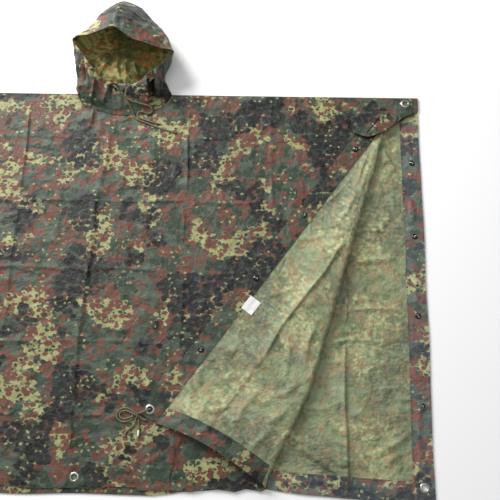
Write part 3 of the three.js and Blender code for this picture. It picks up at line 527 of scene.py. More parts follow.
FRONT_CREASES += pinched(FRONT_PINCHES, ridge=(9, 2.2), trough=(2.3, -2.6))
SHOULDER_CREASES = pinched(SHOULDER_PINCHES, ridge=(8, 2.6), trough=(2.6, -2.8))
BACK_CREASES = [
    ([(435, -818), (480, -847), (535, -882), (560, -897)], 4.5, 4.2, 0.5),
    ([(586, -60), (588, -150), (585, -240)], 6, 2.2, 0),
    ([(585, -425), (585, -446), (585, -476)], 5, 4.6, 0.5),
    ([(581, -486), (582, -520), (582, -560)], 4.5, 3.6, 0.4),
    ([(577, -612), (575, -690), (574, -730), (578, -824), (580, -948)], 7, 4.6, 0.45),
    ([(560, -640), (556, -730), (561, -830), (566, -930)], 8, 2.0, 0),
    ([(474, -844), (509, -867), (556, -899), (580, -916)], 5, 5.2, 0.6),
    ([(500, -838), (540, -862), (580, -880)], 12, 2.0, 0),
    ([(570, -434), (600, -424), (640, -418), (700, -412)], 6, 4.2, 0.4),
    ([(600, -400), (650, -396), (712, -399)], 12, 1.8, 0),
    ([(584, -536), (640, -532), (706, -532)], 5, 2.8, 0.2),
    ([(570, -522), (600, -514), (640, -512)], 6, 1.6, 0),
    ([(556, -612), (578, -604), (604, -601)], 5, 5.4, 0.4),
    ([(510, -602), (545, -594), (582, -582)], 9, 3.0, 0),
    ([(600, -604), (660, -606), (716, -602)], 5, 2.0, 0),
    ([(620, -545), (650, -570), (690, -585)], 8, 2.2, 0),
    ([(672, -132), (685, -158), (706, -196)], 4.5, 2.8, 0.2),
    ([(640, -190), (660, -214), (700, -226)], 6, 2.0, 0),
    ([(626, -300), (654, -349), (668, -392)], 4.5, 2.2, 0),
    ([(610, -338), (654, -349), (700, -346)], 4.5, 2.2, 0),
    ([(622, -378), (654, -349), (690, -312)], 4.5, 2.0, 0),
    ([(640, -392), (654, -349), (650, -306)], 4.5, 1.8, 0),
    ([(654, -349), (680, -372), (716, -396)], 4.5, 2.2, 0),
    ([(632, -860), (671, -836), (716, -808)], 8, 4.4, 0.2),
    ([(660, -878), (676, -862), (692, -850)], 6, 3.2, 0),
    ([(684, -737), (704, -734), (722, -733)], 4, 2.4, 0),
    ([(682, -757), (704, -754), (722, -752)], 4, 2.2, 0),
    ([(600, -700), (650, -716), (700, -708)], 9, 2.2, 0),
    ([(590, -760), (630, -790), (640, -840)], 9, 2.2, 0),
    ([(470, -740), (520, -760), (566, -750)], 8, 2.2, 0),
    ([(440, -930), (520, -916), (570, -926)], 6, 1.6, 0),
    ([(730, -60), (742, -130), (738, -170)], 6, 1.4, 0),
    ([(735, -260), (744, -300), (740, -346)], 6, 1.5, 0),
    ([(734, -420), (744, -480), (738, -540)], 6, 1.6, 0),
    ([(740, -770), (733, -820), (742, -880)], 6, 1.8, 0),
    ([(722, -724), (738, -742), (750, -760)], 7, 2.2, 0),
]

FLAP_CREASES = [
    ([(583, -380), (560, -404), (533, -449), (488, -506), (434, -577), (396, -647), (378, -672)],
     6, 4.6, 0.45),
    ([(372, -678), (333, -732), (287, -792), (243, -837)], 4.5, 2.4, 0),
    ([(366, -676), (327, -728), (281, -788), (238, -832)], 3, 1.4, 0),
    ([(321, -605), (358, -635), (395, -662), (431, -689), (467, -716)], 13, 4.4, 0.3),
    ([(227, -699), (233, -724), (254, -749), (301, -777)], 8, 4.2, 0.2),
    ([(246, -676), (250, -695), (255, -716)], 8, 3.0, 0),
    ([(280, -618), (301, -628), (330, -642)], 4.5, 2.8, 0),
    ([(584, -381), (566, -398), (548, -412), (520, -420)], 6, 3.0, 0),
    ([(590, -395), (540, -388), (500, -392)], 6, 2.4, 0),
    ([(640, -150), (622, -190), (612, -230)], 4.5, 2.6, 0),
    ([(650, -160), (628, -230), (604, -300)], 5, 2.6, 0.2),
    ([(610, -250), (586, -300), (566, -330)], 6, 2.6, 0),
    ([(600, -210), (560, -262), (532, -282)], 5, 1.8, 0),
    ([(596, -330), (552, -340), (500, -348)], 5, 2.0, 0),
    ([(540, -360), (500, -372), (470, -372)], 5, 1.6, 0),
    ([(470, -480), (440, -500), (392, -512)], 5, 1.6, 0),
    ([(520, -560), (494, -610), (486, -660)], 9, 3.4, 0.2),
    ([(446, -600), (452, -650), (440, -700)], 6, 1.8, 0),
    ([(484, -700), (440, -730), (400, -740)], 7, 2.6, 0),
    ([(470, -742), (430, -776), (390, -800)], 8, 2.6, 0),
    ([(400, -700), (352, -760), (330, -810)], 7, 2.0, 0),
    ([(196, -740), (226, -776), (262, -790)], 6, 2.4, 0),
    ([(254, -760), (270, -790), (276, -812)], 5, 2.0, 0),
    ([(420, -800), (380, -836), (362, -866)], 8, 2.4, 0),
    ([(430, -560), (410, -600), (380, -640)], 7, 2.2, 0),
]


CREASE_GAIN = 1.9
HUMP_SIZES = (46, 91, 27)


def relief(across, up, creases, seed, rumple, gain=CREASE_GAIN):
    """The summed height of creases and of the cloth's own unevenness"""
    height = np.zeros_like(across)
    for line, width, rise, lean in creases:
        height += crease_height(across, up, line, width, rise * gain, lean)
    small, broad, narrow = HUMP_SIZES
    soft = uneven(across, up, small, seed) * uneven(across, up, broad, seed + 1)
    crests = 1 - np.abs(uneven(across + 9 * soft, up, narrow, seed + 2)) * 2
    return height + rumple * (0.5 * soft + 0.5 * np.clip(crests, 0, 1) ** 2)


# Heights of the top of the cloth under an eyelet or a snap
ON_BACK = 3.6
ON_FRONT = 5.0
ON_FLAP = 8.6
EYELETS = {
    "eyelet_back_corner": (744, -919, ON_BACK),
    "eyelet_front_middle": (-11, -915, ON_FRONT),
    "eyelet_front_left": (-744, -915, ON_FRONT),
    "eyelet_shoulder_right": (734, -16, ON_FRONT),
    "eyelet_shoulder_left": (-734, -16, ON_FRONT),
    "eyelet_front_corner": (145.1, -769.2, ON_FLAP),
}
HOLE_RADIUS = 7.6
HOLE_DEPTH = 4.4


def around_holes(grid, names):
    """True for the cells of a grid that lie clear of the eyelets' holes"""
    middle = (grid[:-1, :-1] + grid[1:, :-1] + grid[1:, 1:] + grid[:-1, 1:]) / 4
    keep = np.ones(middle.shape[:2], dtype=bool)
    for name in names:
        across, up, height = EYELETS[name]
        near = np.hypot(middle[..., 0] - across, middle[..., 1] - up) < HOLE_RADIUS
        keep &= ~(near & (middle[..., 2] > height - HOLE_DEPTH))
    return keep


# Back panel

BACK_TOP_DROP = 2.6
BACK_NECK = {
    "across": [-85, -82, -66, 132, 148, 151], "dip": [BACK_TOP_DROP, 11, 14, 14, 11, BACK_TOP_DROP],
}
BACK_ROWS = 262
SIDE_HEM_TOP = {"across": [720, 765], "down": [62.5, 41.5]}
HEM_OVERLAP = 0.4
COVERED_HEM_END = 407.4
COVERED_HEM_TOP = 928
HEM_PRINT_SHIFT = 2400


def back_rise(across, up):
    """How far the back panel stands off the surface beyond its own thickness"""
    edge = np.minimum(HALF_WIDTH - np.abs(across), BACK_LENGTH + up)
    settled = smooth_step(edge, -4, 30)
    showing = smooth_step(across - np.interp(-up, FOLD_DOWN, FOLD_ACROSS), -4, 16)
    return relief(across, up, BACK_CREASES, 11, 1.8) * (0.25 + 0.75 * settled) * showing


def edge_wave(along, size, seed, height):
    """How far a cut edge wanders off its straight line"""
    return height * uneven(along, along * 0 + 5.0, size, seed)


EDGE_REACH = 160
BACK_EDGE = {"across": [160, 203, 225, 300, 405, 481, 583, 700], "lift": [0, 7, 12, 18, 19, 11, 6, 1]}
FRONT_EDGE = {
    "across": [-31, 45, 64, 124, 130, 181, 203, 243, 279, 306, 337, 361, 384, 396],
    "lift": [-1, -3, 4, 3, -3, -2, 0, -4, 4, 3, -1, 6, 3, 0],
}


def back_grid(across, up):
    """The middle of the back panel's cloth. Its edges wander a little."""
    right = smooth_step(across, HALF_WIDTH - EDGE_REACH, HALF_WIDTH)
    low = smooth_step(-up, BACK_LENGTH - EDGE_REACH, BACK_LENGTH)
    x = across + right * edge_wave(up, 120, 21, 2.2)
    lift = np.interp(across, BACK_EDGE["across"], BACK_EDGE["lift"])
    y = up + low * (edge_wave(across, 130, 22, 3.0) + lift)
    return np.stack([x, y, BACK_TOP - SHELL / 2 + np.clip(back_rise(across, up), -0.4, None)], axis=-1)


def make_back():
    columns = np.unique(np.concatenate([
        np.linspace(-HALF_WIDTH, 360, 46), np.linspace(360, 568, 56), np.linspace(568, 592, 15),
        np.linspace(592, HALF_WIDTH, 52), np.array(BACK_NECK["across"], dtype=float),
    ]))
    top = -np.interp(columns, BACK_NECK["across"], BACK_NECK["dip"])
    share = np.linspace(0, 1, BACK_ROWS)[:, None]
    up = top[None, :] * (1 - share) - BACK_LENGTH * share
    across = np.broadcast_to(columns, up.shape)
    grid = back_grid(across, up)
    cut = np.stack([across, up], axis=-1)
    keep = around_holes(grid, ["eyelet_back_corner"])
    piece = make_cloth("back_panel_cloth", grid, cut, BACK_SIDES, keep=keep, floor=0.1)
    return stands_for(piece, "inner_cloth", "back_panel")


def back_hem(name, node, across, up):
    """A hem turned onto the back panel's inner side, its outer edge rolled over the panel's. Its print is
    lightened with painted sheen.
    """
    grid = back_grid(across, up)
    grid[..., 2] += HEM_LIFT
    cut = np.stack([across, up + HEM_PRINT_SHIFT], axis=-1)
    keep = around_holes(grid, ["eyelet_back_corner"])
    # Painted sheen: this hem wears the lighter copy of the outer print
    piece = make_cloth(name, grid, cut, PAINTED_SHEEN_HEM_SIDES, thick=HEM_SHELL, keep=keep)
    return stands_for(piece, "outer_cloth", node)


def make_back_hems():
    share = np.linspace(0, 1, BACK_ROWS)[:, None]
    across = np.linspace(HALF_WIDTH - HEM_WIDTH, HALF_WIDTH + HEM_OVERLAP, 16)[None, :]
    top = -np.interp(across, SIDE_HEM_TOP["across"], SIDE_HEM_TOP["down"])
    up = top * (1 - share) - (BACK_LENGTH - HEM_OVERLAP) * share
    side = back_hem("back_side_hem_cloth", "back_side_hem", np.broadcast_to(across, up.shape), up)
    lowest = -(BACK_LENGTH + HEM_OVERLAP)
    across = np.linspace(COVERED_HEM_END + 0.6, HALF_WIDTH - HEM_WIDTH - 0.3, 60)
    across, up = np.meshgrid(across, np.linspace(HEM_WIDTH - BACK_LENGTH, lowest, 11))
    bottom = back_hem("back_bottom_hem_cloth", "back_bottom_hem", across, up)
    across = np.linspace(-HALF_WIDTH, COVERED_HEM_END, 120)
    across, up = np.meshgrid(across, np.linspace(-COVERED_HEM_TOP, lowest, 6))
    grid = back_grid(across, up)
    grid[..., 2] += 0.75
    cut = np.stack([across, up + HEM_PRINT_SHIFT], axis=-1)
    covered = make_cloth("back_bottom_hem_covered", grid, cut, HEM_SIDES, thick=0.5)
    return side, bottom, covered


# Front panel: a plain part, the roll at its turned-back edge, and the turned-back side

FOLD_DOWN = [99, 179, 287, 381, 490, 583, 707, 784, 896, 936]
FOLD_ACROSS = [677, 656, 625, 597, 568, 539, 503, 470, 414, 398]
FOLD_ROLL = [3.5, 6, 9, 11, 11, 9, 9, 8, 7, 7]
CORNER_DOWN = [3.5, 38, 59, 99]
CORNER_ACROSS = [765, 765, 724, 669]
FOLD_SLANT = np.array([279.0, 837.0]) / math.hypot(279, 837)
FOLD_OUTWARD = np.array([FOLD_SLANT[1], -FOLD_SLANT[0]])
FOLD_START = 99.0
ROLL_WIND = 20.0
FLAP_TOP = np.array([602.0, -112.0])
FLAP_CORNER = np.array([122.0, -777.0])
FRONT_HEM_WIDTH = 42.0
FLAP_GAPE = 26.0
FLAP_BOW = 15.0
FLAP_ROWS = 236
FOLD_SETBACK = 30
FLAP_SLANT = (FLAP_CORNER - FLAP_TOP) / np.linalg.norm(FLAP_CORNER - FLAP_TOP)
FLAP_SWELL_LINE = [(570, -412), (477, -522), (419, -626), (375, -690)]
FRONT_NECK = {
    "across": [-85, -81, -68, -42, -16, 0, 16, 42, 68, 94, 118, 138, 147, 151],
    "dip": [0, 15, 29, 36, 41, 45, 48, 49, 46, 38, 33, 28, 15, 0],
}
NECK_EASE = 170.0


def smooth_table(places, values, at):
    """A value read off a table by a smooth curve through its rows"""
    places, values = np.array(places, dtype=float), np.array(values, dtype=float)
    slope = np.gradient(values, places)
    at = np.clip(at, places[0], places[-1])
    i = np.clip(np.searchsorted(places, at) - 1, 0, len(places) - 2)
    span = places[i + 1] - places[i]
    t = (at - places[i]) / span
    return smooth_between(t, values[i], span * slope[i], values[i + 1], span * slope[i + 1])


def roll_start(down):
    radius = smooth_table(FOLD_DOWN, FOLD_ROLL, down)
    return smooth_table(FOLD_DOWN, FOLD_ACROSS, down) - (radius + 1) / FOLD_OUTWARD[0], radius


def roll_point(down, share):
    """A point of the roll, from the plain part, 0, round to the turned-back side, 1"""
    start, radius = roll_start(down)
    turn = math.pi * (share - 0.5)
    out = (radius + 0.5) * np.cos(turn)
    along = (down - FOLD_START) / (FRONT_LENGTH - FOLD_START)
    wind = ROLL_WIND * along**2 * share
    return np.stack([
        start + FOLD_OUTWARD[0] * out + FOLD_SLANT[0] * wind,
        -down + FOLD_OUTWARD[1] * out + FOLD_SLANT[1] * wind,
        FRONT_HEIGHT + radius + radius * np.sin(turn),
    ], axis=-1)


def hem_step(off, width):
    """The rise over a hem that is turned in under the cloth. off is how far out from the edge."""
    return 0.5 * smooth_step(off, -width - 2, -width + 2)


def front_rise(across, up):
    low_hem = hem_step(-up - FRONT_LENGTH, FRONT_HEM_WIDTH)
    side_hem = hem_step(-across - HALF_WIDTH, HEM_WIDTH)
    rise = np.clip(relief(across, up, FRONT_CREASES, 31, 1.5), -0.5, None)
    for x, y, _ in EYELETS.values():
        rise *= smooth_step(np.hypot(across - x, up - y), 9, 26)
    return rise + low_hem + side_hem


def flap_hem_share(along):
    """The share of the way across the turned-back side at which its hem begins"""
    top = roll_point(FOLD_START + along * (FRONT_LENGTH - FOLD_START), 1.0)[..., :2]
    edge = FLAP_TOP + (FLAP_CORNER - FLAP_TOP) * along[..., None]
    row = edge - top
    square = np.abs(row[..., 0] * FLAP_SLANT[1] - row[..., 1] * FLAP_SLANT[0])
    return 1 - FRONT_HEM_WIDTH / square


def flap_grid(along, across):
    """Turned-back side: along from the shoulder, 0, to the tie's corner, 1, and across from the roll"""
    down = FOLD_START + along * (FRONT_LENGTH - FOLD_START)
    top = roll_point(down, 1.0)
    edge = FLAP_TOP + (FLAP_CORNER - FLAP_TOP) * along[..., None]
    x = top[..., 0] + (edge[..., 0] - top[..., 0]) * across
    y = top[..., 1] + (edge[..., 1] - top[..., 1]) * across
    bow = along * (1 - along) * 4
    x += smooth_step(across, 0.5, 1) * edge_wave(down, 150, 41, 2.0) * bow
    gape = smooth_step(along, 0.82, 1) * np.sin(math.pi * np.clip((across - 0.04) / 0.8, 0, 1)) ** 0.8
    y += FLAP_BOW * gape
    fall = smooth_step(across / np.minimum(0.62, 0.9 * flap_hem_share(along)), 0, 1)
    settled = np.clip(np.minimum(4 * across, 2.5 * (1 - across)), 0, 1)
    swell = crease_height(x, y, FLAP_SWELL_LINE, 34, 8.0) * settled
    creases = np.clip(relief(x, y, FLAP_CREASES, 51, 1.5), -0.4, None)
    creases *= smooth_step(across, 0, 0.12) * (0.35 + 0.65 * smooth_step(1 - across, 0, 0.25))
    z = top[..., 2] * (1 - fall) + FLAP_HEIGHT * fall + swell + creases + flap_support(x, y) * fall
    z += FLAP_GAPE * gape
    return np.stack([x, y, z], axis=-1)


def flap_support(across, up):
    """The turned-back side rides over the creases of the plain part under it"""
    return 0.8 * np.clip(front_rise(across, up) - 0.6, 0, None)


def flap_cut(grid, down):
    """Where the turned-back side's points lie on the flat cloth, unfolded about the fold"""
    start, _ = roll_start(down)
    origin = np.stack([start, -down], axis=-1)
    offset = grid[..., :2] - origin
    out = offset[..., 0] * FOLD_OUTWARD[0] + offset[..., 1] * FOLD_OUTWARD[1]
    run = offset[..., 0] * FOLD_SLANT[0] + offset[..., 1] * FOLD_SLANT[1]
    return origin + (FOLD_SETBACK - out)[..., None] * FOLD_OUTWARD + run[..., None] * FOLD_SLANT


def spaced(*runs):
    """Places along a line, each run given by its start, end and spacing"""
    places = [np.linspace(a, b, max(2, round((b - a) / step) + 1)) for a, b, step in runs]
    return np.unique(np.concatenate(places))


PACKED_FOLDS = (118, 283, 452, 621, 786)
TURNED_DOWN_TOP = ((0.6, 0.6), (0.4, 2.6), (1.2, 3.5), (3.2, FRONT_HEIGHT))
RIGHT_START = 320


def make_plain_front():
    """The part of the front panel that lies with its outer side up, and its turn at the shoulder"""
    folds = [(place - 6, place + 6, 2.4) for place in PACKED_FOLDS]
    drops = spaced((5, FOLD_START, 5), (FOLD_START, 800, 8.5), (800, FRONT_LENGTH, 3.8), *folds)
    fixed = spaced((-HALF_WIDTH, -215, 17), (-212, -194, 2.2), (-410, -396, 2.8), (-595, -581, 2.8),
                   (-190, -40, 8), (-40, 140, 4), (140, RIGHT_START, 6), (188, 212, 1.8), (40, 132, 3))
    fixed = np.unique(np.concatenate([fixed, np.array(FRONT_NECK["across"], dtype=float)]))
    edge = np.where(drops < FOLD_START, np.interp(drops, CORNER_DOWN, CORNER_ACROSS), roll_start(drops)[0])
    shares = np.linspace(0, 1, 74)[1:]
    plain = np.concatenate([
        np.broadcast_to(fixed, (len(drops), len(fixed))),
        RIGHT_START + (edge - RIGHT_START)[:, None] * shares[None, :],
    ], axis=1)
    dip = np.interp(plain, FRONT_NECK["across"], FRONT_NECK["dip"], left=0, right=0)
    down = drops[:, None] + dip * (1 - smooth_step(drops, 0, NECK_EASE))[:, None]
    x = plain + smooth_step(-plain, 600, HALF_WIDTH) * edge_wave(drops, 120, 61, 3.0)[:, None]
    low = smooth_step(drops, FRONT_LENGTH - 120, FRONT_LENGTH)[:, None]
    y = -down + low * np.interp(plain, FRONT_EDGE["across"], FRONT_EDGE["lift"])
    y += low * smooth_step(-plain, 20, 90) * edge_wave(plain, 90, 62, 4.0)
    grid = np.stack([x, y, FRONT_HEIGHT + front_rise(plain, -down)], axis=-1)
    cut = np.stack([plain, -down], axis=-1)
    turned = []
    for drop, height in TURNED_DOWN_TOP:
        row = grid[0].copy()
        row[:, 1] = -drop
        row[:, 2] = height
        turned.append(row)
    grid = np.concatenate([np.array(turned), grid])
    added = len(turned)
    cut = np.concatenate([cut[:1] + np.array([0, 3.0 * k]) for k in range(added, 0, -1)] + [cut])
    keep = around_holes(grid, [name for name in EYELETS if name != "eyelet_front_corner"])
    in_neck = (fixed[:-1] >= FRONT_NECK["across"][0]) & (fixed[:-1] < FRONT_NECK["across"][-1])
    keep[:added, :len(fixed) - 1][:, in_neck] = False
    piece = make_cloth("front_panel_plain", grid, cut, CLOTH_SIDES, keep=keep)
    return stands_for(piece, "outer_cloth", "front_panel")


def make_turned_front():
    """The rest of the front panel: the roll, and the side that is turned back over the plain part"""
    drops = np.linspace(FOLD_START, FRONT_LENGTH, FLAP_ROWS)
    along = (drops - FOLD_START) / (FRONT_LENGTH - FOLD_START)
    shares = np.linspace(0, 1, 15)
    roll = np.stack([roll_point(drops, share) for share in shares], axis=1)
    pleat = 1.6 * np.sin(drops / 17.0) * np.sin(drops / 41.0) + 0.7 * np.sin(drops / 6.1)
    roll[..., 0] += pleat[:, None] * np.sin(math.pi * shares)[None, :]
    across = np.linspace(0, 1, 112)[1:]
    along_grid, across_grid = np.broadcast_arrays(along[:, None], across[None, :])
    flap = flap_grid(along_grid, across_grid)
    start, radius = roll_start(drops)
    roll_cut = np.stack([
        start[:, None] + math.pi * radius[:, None] * shares[None, :],
        np.broadcast_to(-drops[:, None], roll.shape[:2]),
    ], axis=-1)
    grid = np.concatenate([roll, flap], axis=1)
    cut = np.concatenate([roll_cut, flap_cut(flap, np.broadcast_to(drops[:, None], flap.shape[:2]))], axis=1)
    keep = around_holes(grid, ["eyelet_front_corner"])
    piece = make_cloth("front_panel_turned", grid, cut, CLOTH_SIDES, keep=keep)
    return stands_for(piece, "outer_cloth", "front_panel")


def flap_hem(name, node, along, across, shift):
    """A hem on the turned-back side, which lies on the side that shows"""
    grid = flap_grid(along, across)
    grid[..., 2] += HEM_LIFT
    cut = grid[..., :2] + np.array(shift)
    keep = around_holes(grid, ["eyelet_front_corner"])
    piece = make_cloth(name, grid, cut, HEM_SIDES, thick=HEM_SHELL, keep=keep)
    return stands_for(piece, "outer_cloth", node)


def make_front_hems():
    along = np.linspace(0, 1, FLAP_ROWS)[:, None]
    begin = flap_hem_share(along[:, 0])[:, None]
    across = begin + (1.002 - begin) * np.linspace(0, 1, 14)[None, :]
    along = np.broadcast_to(along, across.shape)
    side = flap_hem("front_side_hem_cloth", "front_side_hem", along, across, (3100, 700))
    start = (896 - FOLD_START) / (FRONT_LENGTH - FOLD_START)
    along = np.linspace(start, 1.001, 11)[:, None]
    across = (flap_hem_share(along[:, 0])[:, None] - 0.002) * np.linspace(0, 1, 60)[None, :]
    along = np.broadcast_to(along, across.shape)
    bottom = flap_hem("front_bottom_hem_cloth", "front_bottom_hem", along, across, (2100, 5600))
    return side, bottom


SHOULDER_FOLD = {
    "upper": [(596, 40), (626, 40), (656, 39), (684, 37), (706, 36), (726, 35), (748, 36)],
    "lower": [(602, 98), (634, 111), (657, 106), (680, 96), (702, 77), (724, 60), (752, 44)],
    "rise": [4, 9, 12, 11, 8, 5, 2],
}


def make_shoulder_fold():
    """The fold at the shoulder corner, lapping over the start of the turned-back side"""
    steps = np.linspace(0, 6, 97)
    rows = np.linspace(0, 1, 40)

    def column(points):
        points = np.array(points, dtype=float)
        return np.stack([smooth_table(range(7), points[:, k], steps) for k in (0, 1)], axis=-1)

    upper, lower = column(SHOULDER_FOLD["upper"]), column(SHOULDER_FOLD["lower"])
    rise = smooth_table(range(7), SHOULDER_FOLD["rise"], steps)
    share = rows[:, None, None]
    flat = upper[None] * (1 - share) + lower[None] * share
    height = FLAP_HEIGHT + rise[None, :] * np.sin(rows[:, None] * math.pi / 2)
    pinch = 1.6 * np.sin(steps * 2.6)[None, :] * rows[:, None] * (1 - 0.5 * rows[:, None])
    grid = np.stack([flat[..., 0], -flat[..., 1], height + np.clip(pinch, -0.3, None)], axis=-1)
    grid[..., 2] += 1.6 * smooth_step(rows, 0, 0.3)[:, None] * relief(
        grid[..., 0], grid[..., 1], SHOULDER_CREASES, 55, 1.0)
    grid[0, :, 2] = FRONT_HEIGHT + 1.2
    cut = np.stack([flat[..., 0], -flat[..., 1]], axis=-1)
    piece = make_cloth("front_shoulder_fold_cloth", grid, cut, CLOTH_SIDES)
    return stands_for(piece, "outer_cloth", "front_shoulder_fold")


# Cords: braided, each a tube along its route

CORD_DIAMETER = 4.0
CORD_PITCH = 0.8
STRAND_WIDTH = 1.05
HOOD_CORDS = {
    "left": [
        [14.5, 5.6, 34.2], [15, 4.6, 37.6], [17.8, 1.4, 40.4], [22.5, -3.5, 39.4], [27.5, -9, 35.6],
        [32.5, -14.5, 31.4], [38, -20.5, 27.5], [44, -28, 23.9], [49.5, -36, 20], [54, -43, 16.1],
        [58, -51, 11.7], [61.5, -59.5, 7.8], [67.5, -67.5, 6.8], [77.5, -73, 6.8], [91, -78, 6.8],
        [107, -84.5, 6.8], [132, -94, 6.8], [156, -101, 6.8], [168, -104, 6.8],
    ],
    "right": [
        [53.1, 6, 32.1], [52.6, 5.4, 35.4], [50, 3, 38.4], [46, -1.5, 38.2], [42.8, -7, 34.8],
        [41.6, -13, 31], [43.2, -18.8, 28.3], [48, -24, 25.8], [55, -27.8, 24], [65, -30.5, 22.5],
        [76, -33, 20.1], [88, -35, 17.7], [97, -36.7, 15.3], [104, -41, 12], [106, -48, 8],
        [101, -53.3, 7.2], [92, -53, 7.8], [82, -50.5, 9.9], [75, -51.5, 10.1], [70.2, -56, 8],
        [70.6, -62, 6.9], [76, -65.8, 6.8], [84, -68.5, 6.8], [92, -71.5, 6.8], [105, -76, 6.8],
        [117, -79.3, 6.8], [129, -81.5, 6.8],
    ],
}
KNOT_PLACE = np.array([117.0, -781.0, 9.0])
KNOT_RADII = np.array([6.2, 6.2, 4.3])
KNOT_STRAND = 1.65
TIE_CORDS = {
    "neck": [
        [147, -767.4, 7.4], [146.7, -767.6, 11], [144, -768.6, 14], [139, -770.5, 14.8],
        [133, -773, 13.4], [128, -775.2, 12], [123, -777.4, 10.8],
    ],
    "loop_outer": [
        [111.4, -776.8, 7.2], [105, -771.5, 6.8], [97, -767.8, 6.7], [88.9, -766.8, 6.7],
        [79, -770.3, 6.7], [73, -778.5, 6.7], [73.6, -788, 6.7], [81, -794.8, 6.7], [91, -796.4, 6.7],
        [101.5, -793.2, 6.7], [111, -787.4, 7],
    ],
    "loop_inner": [
        [109.8, -780, 10.6], [104, -776.4, 8.8], [96, -773.2, 7.6], [88, -772.6, 6.8],
        [81, -775, 6.7], [78.4, -781, 6.7], [80.8, -787, 6.7], [87.2, -790.4, 6.7],
        [95.5, -789.4, 7], [103, -786.4, 8], [109.9, -783.6, 9.6],
    ],
    "end_plain": [
        [138, -792, 6.7], [132, -790.2, 6.7], [127, -787.8, 6.9], [123.6, -784, 7.4],
        [119.4, -783.4, 7.8], [115, -788.2, 7], [114.6, -793, 6.7], [112.6, -800.8, 6.7],
        [109, -806, 6.7], [104, -810.4, 6.7], [98.6, -815, 6.7], [94.4, -820.4, 6.7],
        [92.1, -825.9, 6.7],
    ],
    "end_tipped": [
        [119.4, -780.6, 9], [120.4, -787.8, 7], [121.2, -792, 6.7], [122.2, -800.6, 6.7],
        [122.6, -807, 6.7], [122.6, -813, 6.7],
    ],
}
TIP_RADIUS = 2.3
TIP_LENGTH = 13.0


def smooth_route(points, spacing):
    """Evenly spaced points of a smooth line through the given ones"""
    points = np.array(points, dtype=float)
    points = np.concatenate([2 * points[:1] - points[1:2], points, 2 * points[-1:] - points[-2:-1]])
    fine = []
    for p0, p1, p2, p3 in zip(points[:-3], points[1:-2], points[2:-1], points[3:]):
        t1 = np.linalg.norm(p1 - p0) ** 0.5
        t2 = t1 + np.linalg.norm(p2 - p1) ** 0.5
        t3 = t2 + np.linalg.norm(p3 - p2) ** 0.5
        t = np.linspace(t1, t2, 24, endpoint=False)[:, None]
        a1 = (t1 - t) / t1 * p0 + t / t1 * p1
        a2 = (t2 - t) / (t2 - t1) * p1 + (t - t1) / (t2 - t1) * p2
        a3 = (t3 - t) / (t3 - t2) * p2 + (t - t2) / (t3 - t2) * p3
        b1 = (t2 - t) / t2 * a1 + t / t2 * a2
        b2 = (t3 - t) / (t3 - t1) * a2 + (t - t1) / (t3 - t1) * a3
        fine.append((t2 - t) / (t2 - t1) * b1 + (t - t1) / (t2 - t1) * b2)
    fine = np.concatenate(fine + [points[-2:-1]])
    run = np.concatenate([[0], np.cumsum(np.linalg.norm(np.diff(fine, axis=0), axis=1))])
    steps = max(8, int(run[-1] / spacing))
    even = np.linspace(0, run[-1], steps + 1)
    return np.stack([np.interp(even, run, fine[:, k]) for k in range(3)], axis=1), run[-1]


def tube_points(line, radius, sides, closed=False, braid=0.0):
    """Rings of points round a line, turned as little as possible from ring to ring"""
    if closed:
        heading = np.roll(line, -1, axis=0) - np.roll(line, 1, axis=0)
    else:
        heading = np.gradient(line, axis=0)
    heading /= np.linalg.norm(heading, axis=1, keepdims=True)
    side = np.cross(heading[0], [0.3, 0.2, 1.0])
    side /= np.linalg.norm(side)
    turns = np.arange(sides) * 2 * math.pi / sides
    rings = []
    for k, (point, ahead) in enumerate(zip(line, heading)):
        side = side - ahead * side.dot(ahead)
        side /= np.linalg.norm(side)
        other = np.cross(ahead, side)
        weave = 1 + braid * np.sin(turns * 3 + k * 1.35) * np.sin(turns * 3 - k * 1.35)
        ring = np.cos(turns)[:, None] * side + np.sin(turns)[:, None] * other
        rings.append(point + ring * (radius * weave)[:, None])
    return np.array(rings)


def make_tube(name, line, radius, finish, sides=12, closed=False, braid=0.05):
    rings = tube_points(line, radius, sides, closed, braid)
    count = len(rings)
    points = rings.reshape(-1, 3)
    number = np.arange(count * sides).reshape(count, sides)
    after = np.roll(number, -1, axis=0) if closed else number[1:]
    here = number if closed else number[:-1]
    faces = np.stack([here, np.roll(here, -1, 1), np.roll(after, -1, 1), after], axis=2)
    faces = faces.reshape(-1, 4).tolist()
    run = np.repeat(np.arange(count) * CORD_PITCH, sides)
    places = np.stack([run, np.tile(np.arange(sides) * STRAND_WIDTH, count)], axis=1)
    if not closed:
        faces.append(number[0][::-1].tolist())
        faces.append(number[-1].tolist())
    return make_piece(name, points, faces, (finish,), None, places)


def plain_finish(name, colour, rough, metal=0.0, grain=0.003, variation=0.15):
    """A plain material whose tone and roughness vary a little over the piece"""
    finish = Finish(name)
    place = finish.add("ShaderNodeTexCoord", {}, {}, 3)
    cloud = finish.noise(place, 0.012, 4, flat="3D", rough=0.6)
    darker = tuple(part * (1 - variation) for part in colour[:3]) + (1.0,)
    finish.shade(
        Base_Color=finish.mix((cloud * 2 - 0.5).clamped(), darker, colour),
        Roughness=rough + (cloud - 0.5) * 0.25,
        Metallic=metal,
    )
    finish.bump(finish.noise(place, grain, 3, flat="3D"), 0.35, 0.0002)
    return finish.material


